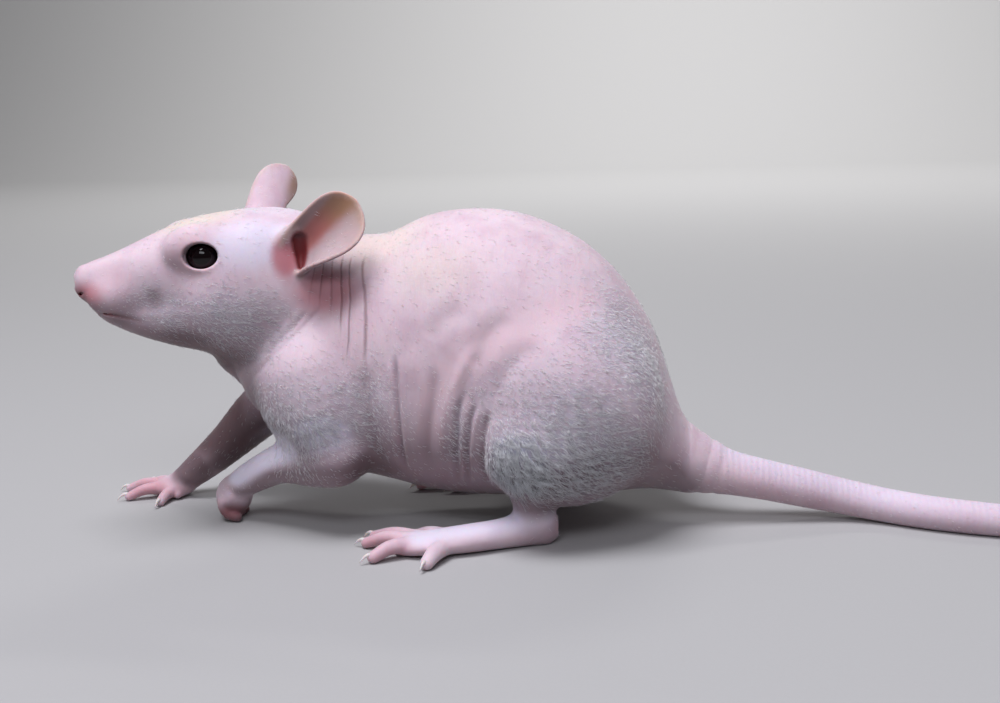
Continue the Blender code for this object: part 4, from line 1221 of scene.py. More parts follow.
@dataclass
class Skin:
    """The bare skin of the whole animal, one surface from the nose to the tip of the tail."""

    trunk: Trunk = field(default_factory=Trunk)
    head: Head = field(default_factory=Head)
    ears: tuple[Ear, ...] = (Ear(EAR_LEFT), Ear(EAR_RIGHT))
    forelegs: tuple[Foreleg, ...] = (FORELEG_LEFT, FORELEG_RIGHT)
    hindlegs: tuple[Hindleg, ...] = (Hindleg(), Hindleg(2.0, False))
    tail: Tail = field(default_factory=Tail)
    creases: tuple[Crease | NeckPleats, ...] = (NeckPleats(), *BODY_CREASES)
    step: float = 0.3
    block: int = 4
    blocks_at_once: int = 9000
    margin: float = 1.5
    band: float = 1.25
    right_shift: float = 1.7
    midst: float = 2.0
    rounds: int = 2
    floor_gap: float = 0.02
    most_triangles: int = 192_000

    def form(self) -> Form:
        """The whole animal as one distance field."""
        members = self.trunk.members() + self.head.members()
        cuts = self.head.cuts()
        for leg in (*self.forelegs, *self.hindlegs, self.tail):
            members += leg.members()
        for ear in self.ears:
            members += ear.members()
            cuts += ear.cuts()
        floor = Egg((40.0, 0.0, -4000.0), (4000.0,) * 3)
        return Carved(Union(tuple(members)), (*cuts, (floor, 0.2)))

    def field(self, form: Form) -> tuple[Array, Array]:
        """Fills a grid with the form's distances.

        Args:
            form: the distance field.

        Returns:
            The grid's lowest corner and its values. They are worked out block by block, and
            node by node only in blocks whose middle is near the surface.
        """
        low, high = form.box()
        low = np.maximum(low - self.margin, (-np.inf, -np.inf, -self.margin))
        size = self.step * self.block
        counts = np.ceil((high + self.margin - low) / size).astype(int)
        middles = [low[k] + (np.arange(counts[k]) + 0.5) * size for k in range(3)]
        centres = np.stack(np.meshgrid(*middles, indexing="ij"), -1).reshape(-1, 3)
        coarse = form.distance(centres).reshape(counts).astype(np.float32)
        values = coarse.repeat(self.block, 0).repeat(self.block, 1).repeat(self.block, 2)
        near = np.argwhere(np.abs(coarse) < size * self.band)
        inner = np.stack(np.meshgrid(*[np.arange(self.block)] * 3, indexing="ij"), -1).reshape(-1, 3)
        for blocks in np.array_split(near, max(1, len(near) // self.blocks_at_once)):
            nodes = (blocks[:, None] * self.block + inner).reshape(-1, 3)
            values[tuple(nodes.T)] = form.distance(low + (nodes + 0.5) * self.step)
        return low, values

    def net(self, low: Array, values: Array) -> tuple[Array, Array]:
        """Draws a surface net through the grid where its values change sign.

        Args:
            low: the grid's lowest corner.
            values: its values.

        Returns:
            Points and four-sided faces. Each cell that the surface crosses has one point, the
            mean of the places where it crosses the cell's edges, and each crossed edge makes
            a face of the four cells round it.
        """
        shape = np.array(values.shape)
        cells, places, outward = [], [], []
        for axis in range(3):
            ahead, second, third = np.roll(np.eye(3, dtype=int), -axis, axis=0) @ np.eye(3, dtype=int)
            first = np.take(values, np.arange(shape[axis] - 1), axis)
            crossed = np.argwhere((first < 0.0) != (np.take(values, np.arange(1, shape[axis]), axis) < 0.0))
            del first
            near = values[tuple(crossed.T)]
            far = values[tuple((crossed + ahead).T)]
            places.append(crossed + (near / (near - far))[:, None] * ahead)
            outward.append(near < 0.0)
            ring = np.array(((0, 0), (1, 0), (1, 1), (0, 1)))
            corners = crossed[:, None] - ring[:, :1] * second - ring[:, 1:] * third
            cells.append(np.ravel_multi_index(tuple(corners.reshape(-1, 3).T), tuple(shape)).reshape(-1, 4))
        cell = np.concatenate(cells)
        place = np.concatenate(places).repeat(4, axis=0)
        _, index = np.unique(cell.ravel(), return_inverse=True)
        index = index.ravel()
        count = np.bincount(index)
        points = np.stack([np.bincount(index, place[:, k]) / count for k in range(3)], -1)
        faces = index.reshape(-1, 4)
        keep = np.concatenate(outward)
        faces = np.where(keep[:, None], faces, faces[:, ::-1])
        return low + (points + 0.5) * self.step, faces

    @staticmethod
    def normals(points: Array, faces: Array) -> Array:
        """Normals at the points, from the cross products of the faces' diagonals."""
        across = points[faces[:, 2]] - points[faces[:, 0]]
        other = points[faces[:, 3]] - points[faces[:, 1]]
        facing = np.cross(across, other).repeat(4, axis=0)
        total = np.stack([np.bincount(faces.ravel(), facing[:, k], len(points)) for k in range(3)], -1)
        return total / np.maximum(np.linalg.norm(total, axis=1), 1e-12)[:, None]

    @staticmethod
    def relaxed(points: Array, faces: Array) -> Array:
        """Each point moved half way to the mean of its neighbours."""
        ends = np.concatenate([faces, faces[:, ::-1]]).ravel()
        others = np.concatenate([np.roll(faces, -1, axis=1), np.roll(faces[:, ::-1], -1, axis=1)]).ravel()
        count = np.bincount(ends, minlength=len(points))
        mean = np.stack([np.bincount(ends, points[others, k], len(points)) / count for k in range(3)], -1)
        return (points + mean) / 2.0

    def flanks(self, points: Array) -> list[tuple[Array, float]]:
        """The numbers of the points on the left and right flank, and how far back its folds lie."""
        aside = points[:, 1] - middle_line(points)
        left, right = aside < -self.midst, aside > self.midst
        return [(np.flatnonzero(left), 0.0), (np.flatnonzero(right), self.right_shift)]

    def folded(self, points: Array, normals: Array) -> Array:
        """The points with every crease pressed into both flanks, the right one's further back."""
        moved = np.zeros(len(points))
        for flank, shift in self.flanks(points):
            for crease in self.creases:
                moved[flank] += crease.press(points[flank], normals[flank], shift)
        return points + normals * moved[:, None]

    def fold_shade_marks(self, points: Array, normals: Array) -> dict[Mark, Array]:
        """Painted shade in the folds, by how deep in a fold each point lies, and the pleats' number and
        strength there.
        """
        deep, number, pleated = (np.zeros(len(points)) for _ in range(3))
        for flank, shift in self.flanks(points):
            for crease in self.creases:
                if isinstance(crease, NeckPleats):
                    number[flank], pleated[flank] = crease.number(points[flank], normals[flank], shift)
                elif crease.depth > 0.0:
                    least, share = crease.reach(points[flank], normals[flank], shift)
                    amount = crease.depth * share * np.exp(-((least / (0.8 * crease.width)) ** 2))
                    raise_to(deep, flank, amount)
        return {Mark.FOLD_SHADE: deep, Mark.PLEAT: number, Mark.PLEATED: pleated}

    def mesh(self) -> tuple[Array, Array]:
        """The skin's points and faces before it is thinned."""
        form = self.form()
        low, values = self.field(form)
        points, faces = self.net(low, values)
        LOG.info("skin net: %d points, %d faces", len(points), len(faces))
        for _ in range(self.rounds):
            points = self.relaxed(points, faces)
            points -= form.distance(points)[:, None] * self.normals(points, faces)
        points = self.folded(points, self.normals(points, faces))
        points[:, 2] = np.maximum(points[:, 2], self.floor_gap)
        return points, faces

    def build(self) -> bpy.types.Object:
        """The skin as an object of triangles, thinned where it is plain."""
        points, faces = self.mesh()
        skin = new_object("skin", points, faces)
        thin = skin.modifiers.new("Thin", "DECIMATE")
        thin.ratio = self.most_triangles / (2.0 * len(faces))
        thin.use_collapse_triangulate = True
        settled(skin)
        points, normals = points_of(skin.data), normals_of(skin.data)
        # Among the marks, painted shade in the folds and pleats
        marks = {**Markings().read(points), **self.fold_shade_marks(points, normals)}
        # Painted shade where the skin faces down, stored as its own attribute
        put_attributes(skin.data, {**marks, Mark.PAINTED_UNDERSHADE: painted_underside_shade(points, normals)})
        return skin


def new_object(name: str, points: Array, faces: Array) -> bpy.types.Object:
    """Makes a smooth-shaded object in the part's frame.

    Args:
        name: the object's name.
        points: places in the body's frame, in millimetres.
        faces: rows of point numbers, all of one length.

    Returns:
        The object, with its place in its mesh.
    """
    mesh = bpy.data.meshes.new(name)
    count, corners = faces.shape
    mesh.vertices.add(len(points))
    mesh.vertices.foreach_set("co", ((points - ORIGIN) * MM).astype(np.float32).ravel())
    mesh.loops.add(count * corners)
    mesh.loops.foreach_set("vertex_index", faces.astype(np.int32).ravel())
    mesh.polygons.add(count)
    mesh.polygons.foreach_set("loop_start", np.arange(0, count * corners, corners, dtype=np.int32))
    mesh.update(calc_edges=True)
    mesh.validate()
    mesh.shade_smooth()
    made = bpy.data.objects.new(name, mesh)
    bpy.context.scene.collection.objects.link(made)
    return made


def settled(obj: bpy.types.Object) -> None:
    """Applies an object's modifiers to its mesh."""
    graph = bpy.context.evaluated_depsgraph_get()
    mesh = bpy.data.meshes.new_from_object(obj.evaluated_get(graph))
    obj.modifiers.clear()
    old, obj.data = obj.data, mesh
    bpy.data.meshes.remove(old)
    obj.data.name = obj.name


def points_of(mesh: bpy.types.Mesh) -> Array:
    """A mesh's points in the body's frame, in millimetres."""
    flat = np.empty(len(mesh.vertices) * 3, np.float32)
    mesh.vertices.foreach_get("co", flat)
    return flat.reshape(-1, 3).astype(float) / MM + ORIGIN


def normals_of(mesh: bpy.types.Mesh) -> Array:
    """The normals at a mesh's points."""
    flat = np.empty(len(mesh.vertices) * 3, np.float32)
    mesh.vertices.foreach_get("normal", flat)
    return flat.reshape(-1, 3).astype(float)


def add_node(
    tree: bpy.types.NodeTree, kind: str, settings: dict | None = None, **links: object
) -> bpy.types.Node:
    """Adds a node with its settings and links.

    Args:
        tree: the material's nodes.
        kind: the node's type, such as ShaderNodeMix.
        settings: the node's own properties, by name.
        links: for each input, written in_ and its number or its name with underscores, a
            value or another node's output.

    Returns:
        The node.
    """
    node = tree.nodes.new(kind)
    for key, value in (settings or {}).items():
        setattr(node, key, value)
    for key, value in links.items():
        name = key[3:]
        socket = node.inputs[int(name)] if name.isdigit() else node.inputs[name.replace("_", " ")]
        if isinstance(value, Socket):
            tree.links.new(value, socket)
        else:
            socket.default_value = value
    return node


def new_material(name: str) -> tuple[bpy.types.Material, bpy.types.NodeTree]:
    """A material made of nodes, with its tree."""
    made = bpy.data.materials.new(name)
    made.use_nodes = True
    return made, made.node_tree


def set_sockets(shader: bpy.types.Node, values: dict[str, object]) -> None:
    """Sets the constants of a shader, by its sockets' names."""
    for name, value in values.items():
        shader.inputs[name].default_value = value


@dataclass(frozen=True)
class Tint:
    """A colour laid over a surface where a mark is, by a share of the mark's amount."""

    mark: Mark
    colour: str
    share: float = 1.0


@dataclass(frozen=True)
class Tinted:
    """A surface of two mottled colours with tints over them."""

    name: str
    base: str
    mottle: str
    tints: tuple[Tint, ...]
    mottle_mm: float

    def begin(self) -> tuple[bpy.types.Material, bpy.types.NodeTree, Socket, Socket]:
        """Starts the material.

        Returns:
            The material, its nodes, the place and the mottled colour with its tints.
        """
        made, tree = new_material(self.name)
        place = add_node(tree, "ShaderNodeTexCoord").outputs["Object"]
        blotch = add_node(
            tree,
            "ShaderNodeTexNoise",
            in_Vector=place,
            in_Scale=1.0 / (self.mottle_mm * MM),
            in_Detail=4.0,
            in_Roughness=0.6,
        )
        noise = blotch.outputs["Fac"]
        share = add_node(tree, "ShaderNodeMapRange", in_0=noise, in_1=0.4, in_2=0.7, in_4=0.8)
        colour = self.over(tree, share.outputs[0], linear(self.base), self.mottle)
        for tint in self.tints:
            amount = add_node(tree, "ShaderNodeAttribute", {"attribute_name": tint.mark.value})
            part = add_node(
                tree,
                "ShaderNodeMath",
                {"operation": "MULTIPLY", "use_clamp": True},
                in_0=amount.outputs["Fac"],
                in_1=tint.share,
            )
            colour = self.over(tree, part.outputs[0], colour, tint.colour)
        return made, tree, place, colour

    @staticmethod
    def over(tree: bpy.types.NodeTree, share: Socket, under: object, colour: str) -> Socket:
        """A colour laid over another by a share."""
        mixed = add_node(
            tree, "ShaderNodeMix", {"data_type": "RGBA"}, in_0=share, in_6=under, in_7=linear(colour)
        )
        return mixed.outputs[2]


@dataclass(frozen=True)
class BareSkin(Tinted):
    """Living hairless skin: thin, moist enough for a soft sheen, and lit from under by blood.

    Light that enters it comes out redder nearby, so the pale flesh has a warm edge in shadow.
    Each bump has its strength and its height in millimetres.
    """

    name: str = "bare rat skin"
    base: str = "#ead3de"
    mottle: str = "#d8b9c8"
    tints: tuple[Tint, ...] = (
        # Partly the grey-blue tone of the skin under the fuzz, partly painted shade beneath the hairs
        Tint(Mark.VEIL, "#bdbfcd", 0.85),
        # Partly painted light, lightening the forearm, elbow and knee
        Tint(Mark.LILAC_AND_PAINTED_LIGHT, "#ebe4f7", 0.85),
        Tint(Mark.BARE, "#f1d3de", 0.85),
        Tint(Mark.CREAM, "#f3e6d2", 0.85),
        # Mostly painted shade: a dark brown-maroon where shade falls on the body
        Tint(Mark.DUSK_AND_PAINTED_SHADE, "#4b2d2b", 0.88),
        # Painted shade in the creases
        Tint(Mark.FOLD_SHADE, "#784b51", 0.55),
        Tint(Mark.BLUSH, "#c97781", 0.8),
        Tint(Mark.CUP, "#d4817a", 0.95),
        # Partly the ears' own olive tone, partly painted shade on the far ear's curled rim
        Tint(Mark.OLIVE_AND_PAINTED_SHADE, "#b6936a", 0.8),
        Tint(Mark.FLAP, "#c0a8aa", 0.85),
        Tint(Mark.RIM, "#d9bdb5", 0.45),
        # Partly the red of the inner skin, partly painted shade in nostrils, mouth line and ear canals
        Tint(Mark.DEEP_RED_AND_PAINTED_SHADE, "#7e1c20", 0.95),
        # Painted shade: a dark mauve on the underside
        Tint(Mark.PAINTED_UNDERSHADE, "#594549", 0.75),
    )
    mottle_mm: float = 7.0
    # Painted shade in the neck's pleats, strongest high up under the ear
    pleat_shade_colour: str = "#5e322c"
    roughness: float = 0.5
    sheen: float = 0.15
    blood_depth_mm: float = 1.5
    pore_mm: float = 0.45
    wrinkle_mm: float = 1.6
    ring_mm: float = 1.1
    pore_bump: tuple[float, float] = (0.3, 0.1)
    wrinkle_bump: tuple[float, float] = (0.4, 0.3)
    ring_bump: tuple[float, float] = (0.2, 0.08)
    pleat_bump: tuple[float, float] = (0.7, -0.45)

    def pleats(self, tree: bpy.types.NodeTree, place: Socket) -> Socket:
        """How deep each place lies in a pleat.

        Returns:
            0.5 on a whole number, eased to 0 at 0.15 from it, times the pleats' strength; a
            noise moves the numbers a little, so that no two pleats run alike.
        """
        number = add_node(tree, "ShaderNodeAttribute", {"attribute_name": Mark.PLEAT.value})
        strength = add_node(tree, "ShaderNodeAttribute", {"attribute_name": Mark.PLEATED.value})
        stray = add_node(tree, "ShaderNodeTexNoise", in_Vector=place, in_Scale=1.0 / (9.0 * MM))
        moved = add_node(
            tree,
            "ShaderNodeMath",
            {"operation": "MULTIPLY_ADD"},
            in_0=stray.outputs["Fac"],
            in_1=0.35,
            in_2=number.outputs["Fac"],
        )
        off = add_node(tree, "ShaderNodeMath", {"operation": "PINGPONG"}, in_0=moved.outputs[0], in_1=0.5)
        near = add_node(
            tree,
            "ShaderNodeMapRange",
            {"interpolation_type": "SMOOTHSTEP"},
            in_0=off.outputs[0],
            in_1=0.0,
            in_2=0.15,
            in_3=0.5,
            in_4=0.0,
        )
        return add_node(
            tree,
            "ShaderNodeMath",
            {"operation": "MULTIPLY"},
            in_0=near.outputs[0],
            in_1=strength.outputs["Fac"],
        ).outputs[0]

    def material(self) -> bpy.types.Material:
        """The skin: tinted flesh with painted shade and light among its tints, pleats darkened by painted
        shade, fine pores and wrinkles as bump, and rings along the tail.
        """
        made, tree, place, colour = self.begin()
        shader = tree.nodes["Principled BSDF"]
        pleat = self.pleats(tree, place)
        # Painted shade darkens the pleats
        tree.links.new(self.over(tree, pleat, colour, self.pleat_shade_colour), shader.inputs["Base Color"])
        pores = add_node(
            tree,
            "ShaderNodeTexNoise",
            in_Vector=place,
            in_Scale=1.0 / (self.pore_mm * MM),
            in_Detail=3.0,
            in_Roughness=0.6,
        )
        upright = add_node(tree, "ShaderNodeMapping", in_Vector=place, in_Scale=(1.0, 0.35, 0.22))
        wrinkles = add_node(
            tree,
            "ShaderNodeTexNoise",
            in_Vector=upright.outputs[0],
            in_Scale=1.0 / (self.wrinkle_mm * MM),
            in_Detail=2.0,
        )
        ring = add_node(tree, "ShaderNodeAttribute", {"attribute_name": Mark.RING.value})
        turn = add_node(
            tree,
            "ShaderNodeMath",
            {"operation": "MULTIPLY"},
            in_0=ring.outputs["Fac"],
            in_1=2.0 * math.pi / self.ring_mm,
        )
        wave = add_node(tree, "ShaderNodeMath", {"operation": "SINE"}, in_0=turn.outputs[0])
        normal: object = (0.0, 0.0, 0.0)
        for height, (strength, distance) in (
            (pores.outputs["Fac"], self.pore_bump),
            (wrinkles.outputs["Fac"], self.wrinkle_bump),
            (wave.outputs[0], self.ring_bump),
            (pleat, self.pleat_bump),
        ):
            bump = add_node(
                tree, "ShaderNodeBump", in_Strength=strength, in_Distance=distance * MM, in_Height=height
            )
            if isinstance(normal, Socket):
                tree.links.new(normal, bump.inputs["Normal"])
            normal = bump.outputs[0]
        tree.links.new(normal, shader.inputs["Normal"])
        values = {
            "Roughness": self.roughness,
            "IOR": 1.4,
            "Specular IOR Level": 0.35,
            "Sheen Weight": self.sheen,
            "Sheen Roughness": 0.5,
            "Subsurface Weight": 0.35,
            "Subsurface Radius": (1.0, 0.36, 0.22),
            "Subsurface Scale": self.blood_depth_mm * MM,
        }
        set_sockets(shader, values)
        return made


@dataclass(frozen=True)
class Down(Tinted):
    """Short fine down: white hairs, each a tapered thread that light passes through and edges with sheen."""

    name: str = "white down"
    base: str = "#fff3f6"
    mottle: str = "#f2e4ec"
    tints: tuple[Tint, ...] = (
        Tint(Mark.VEIL, "#f4f8ff", 0.9),
        Tint(Mark.CREAM, "#fbf3e2", 0.8),
        # Painted shade on the hairs, as on the skin beneath
        Tint(Mark.DUSK_AND_PAINTED_SHADE, "#5f4b47", 0.85),
        # Painted shade on the hairs of the underside
        Tint(Mark.PAINTED_UNDERSHADE, "#8e909c", 0.5),
    )
    mottle_mm: float = 3.0
    hair_width_mm: float = 0.08

    def material(self) -> bpy.types.Material:
        """The down, soft and slightly shiny."""
        made, tree, _, colour = self.begin()
        shader = tree.nodes["Principled BSDF"]
        tree.links.new(colour, shader.inputs["Base Color"])
        values = {
            "Roughness": 0.45,
            "Specular IOR Level": 0.5,
            "Sheen Weight": 1.0,
            "Subsurface Weight": 0.7,
            "Subsurface Radius": (1.0, 1.0, 1.0),
            "Subsurface Scale": self.hair_width_mm * MM,
        }
        set_sockets(shader, values)
        return made


@dataclass(frozen=True)
class Plain:
    """A surface of one colour with its gloss."""

    name: str
    colour: str
    roughness: float
    specular: float = 0.5
    subsurface: float = 0.0
    grain_mm: float = 1.0
    grain: float = 0.0
    other: str = "#000000"
    depth_mm: float = 0.5

    def material(self) -> bpy.types.Material:
        """The material, its colour mixed with the other along a fine noise."""
        made, tree = new_material(self.name)
        shader = tree.nodes["Principled BSDF"]
        noise = add_node(
            tree,
            "ShaderNodeTexNoise",
            in_Vector=add_node(tree, "ShaderNodeTexCoord").outputs["Object"],
            in_Scale=1.0 / (self.grain_mm * MM),
            in_Detail=3.0,
        )
        share = add_node(
            tree, "ShaderNodeMapRange", in_0=noise.outputs["Fac"], in_1=0.3, in_2=0.7, in_4=self.grain
        )
        mixed = add_node(
            tree,
            "ShaderNodeMix",
            {"data_type": "RGBA"},
            in_0=share.outputs[0],
            in_6=linear(self.colour),
            in_7=linear(self.other),
        )
        tree.links.new(mixed.outputs[2], shader.inputs["Base Color"])
        values = {
            "Roughness": self.roughness,
            "Specular IOR Level": self.specular,
            "Subsurface Weight": self.subsurface,
            "Subsurface Scale": self.depth_mm * MM,
        }
        set_sockets(shader, values)
        return made


@dataclass
class Eyes:
    """The two dark, bulging eyes."""

    head: Head = field(default_factory=Head)
    finish: Plain = Plain(
        "moist dark eye", "#080203", 0.06, specular=0.3, grain_mm=1.5, grain=0.5, other="#16050a"
    )
    bulge: float = 0.12
    inset: float = 0.1
    rings: int = 40
    spokes: int = 64

    def globe(self, side: int, centre: Array, look: Array) -> tuple[Array, Array]:
        """One eyeball as a grid of latitude and longitude about its looking direction.

        Returns:
            Points and faces. The radius is the eye's own less the inset, raised in front by the
            bulge times the fourth power of the cosine of the angle from the looking direction.
        """
        place = self.head.eye_place(side, centre, look)
        down = np.linspace(0.0, math.pi, self.rings)
        about = np.linspace(0.0, 2.0 * math.pi, self.spokes, endpoint=False)
        polar, turn = np.meshgrid(down, about, indexing="ij")
        radius = self.head.eye_radius - self.inset + self.bulge * np.maximum(np.cos(polar), 0.0) ** 4
        local = np.stack([np.sin(polar) * np.cos(turn), np.sin(polar) * np.sin(turn), np.cos(polar)], -1)
        points = place.world((local * radius[..., None]).reshape(-1, 3))
        return points, ring_faces(self.rings, self.spokes)

    def build(self) -> list[bpy.types.Object]:
        """Both eyes, dressed and riding in place of the CAD's."""
        made = []
        finish = self.finish.material()
        for name, side, centre, look in self.head.eyes():
            eye = new_object(name + "_globe", *self.globe(side, centre, look))
            welded(eye)
            dress(eye, finish, "eye", name)
            made.append(eye)
        return made


def ring_faces(rings: int, corners: int) -> Array:
    """Four-sided faces between closed rings of points."""
    index = np.arange(rings * corners).reshape(rings, corners)
    low, high = index[:-1], index[1:]
    faces = np.stack([low, np.roll(low, -1, axis=1), np.roll(high, -1, axis=1), high], -1)
    return faces.reshape(-1, 4)


def welded(obj: bpy.types.Object) -> None:
    """Merges doubled points and turns every face outward."""
    work = bmesh.new()
    work.from_mesh(obj.data)
    bmesh.ops.remove_doubles(work, verts=work.verts, dist=1e-7)
    bmesh.ops.dissolve_degenerate(work, edges=work.edges, dist=1e-8)
    bmesh.ops.recalc_face_normals(work, faces=work.faces)
    work.to_mesh(obj.data)
    work.free()


def dress(obj: bpy.types.Object, finish: bpy.types.Material, slot: str, *nodes: str) -> None:
    """Gives a piece its material, rides it on the body and hides the nodes it stands for."""
    obj.data.materials.clear()
    obj.data.materials.append(finish)
    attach(obj, BODY)
    if nodes:
        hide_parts(*nodes)


def tube(path: Array, radii: Array, corners: int) -> tuple[Array, Array]:
    """A closed tube: a ring of points carried along a path and drawn to a point at each end.

    Args:
        path: points of the path.
        radii: the ring's radius at each.
        corners: how many points a ring has.

    Returns:
        Points and faces. Each ring is radius * (cos t * side + sin t * up) about its point,
        with side and up square to the path there; the end rings have no width.
    """
    ahead = np.gradient(path, axis=0)
    ahead /= np.linalg.norm(ahead, axis=1)[:, None]
    side = np.cross(ahead, (0.0, 0.0, 1.0))
    side /= np.maximum(np.linalg.norm(side, axis=1), 1e-6)[:, None]
    up = np.cross(side, ahead)
    turn = np.linspace(0.0, 2.0 * math.pi, corners, endpoint=False)
    ring = np.cos(turn)[None, :, None] * side[:, None] + np.sin(turn)[None, :, None] * up[:, None]
    points = path[:, None] + ring * radii[:, None, None]
    return points.reshape(-1, 3), ring_faces(len(path), corners)


@dataclass
class Claws:
    """The small pale claws at the ends of the toes.

    Slope is the share of the toe's own slope that a claw keeps. Arch holds how high the claw
    starts above the toe's middle line, how far it rises and how far it falls.
    """

    hindlegs: tuple[Hindleg, ...]
    foreleg: Foreleg
    reach: float = 1.6
    radius: float = 0.42
    clearance: float = 0.28
    slope: float = 0.3
    arch: Triple = (0.35, 0.45, 0.75)
    finish: Plain = Plain(
        "pale horn claw", "#efe6e6", 0.35, subsurface=0.3, grain_mm=0.5, grain=0.4, other="#d9c2be"
    )

    def claw(self, toe: Rows) -> tuple[Array, Array]:
        """One claw as a tapering tube that leaves the toe's end and dips to the floor."""
        tip, before = np.array(toe[-1], float), np.array(toe[-2], float)
        ahead = tip[:3] - before[:3]
        ahead[2] *= self.slope
        ahead = unit(ahead)
        part = np.linspace(0.0, 1.0, 9)
        path = tip[:3] + np.outer(part * (tip[3] + self.reach), ahead)
        start, rise, fall = self.arch
        path[:, 2] += start + rise * np.sin(part * math.pi) - fall * part**2
        path[:, 2] = np.maximum(path[:, 2], self.clearance)
        radii = self.radius * (1.0 - part**1.6) ** 0.8
        radii[0] = 0.0
        return tube(path, radii, 10)

    def build(self) -> list[bpy.types.Object]:
        """The claws of each foot as one piece, riding on the body."""
        finish = self.finish.material()
        feet = {
            "claws_hind_left": [self.hindlegs[0].placed(toe) for toe in self.hindlegs[0].toes],
            "claws_hind_right": [self.hindlegs[1].placed(toe) for toe in self.hindlegs[1].toes],
            "claws_fore_right": list(self.foreleg.fingers[:4]),
        }
        made = []
        for name, toes in feet.items():
            shapes = [self.claw(toe) for toe in toes]
            starts = np.cumsum([0] + [len(points) for points, _ in shapes[:-1]])
            faces = np.vstack([part + start for (_, part), start in zip(shapes, starts)])
            claws = new_object(name, np.vstack([points for points, _ in shapes]), faces)
            welded(claws)
            dress(claws, finish, "foot_skin")
            made.append(claws)
        return made


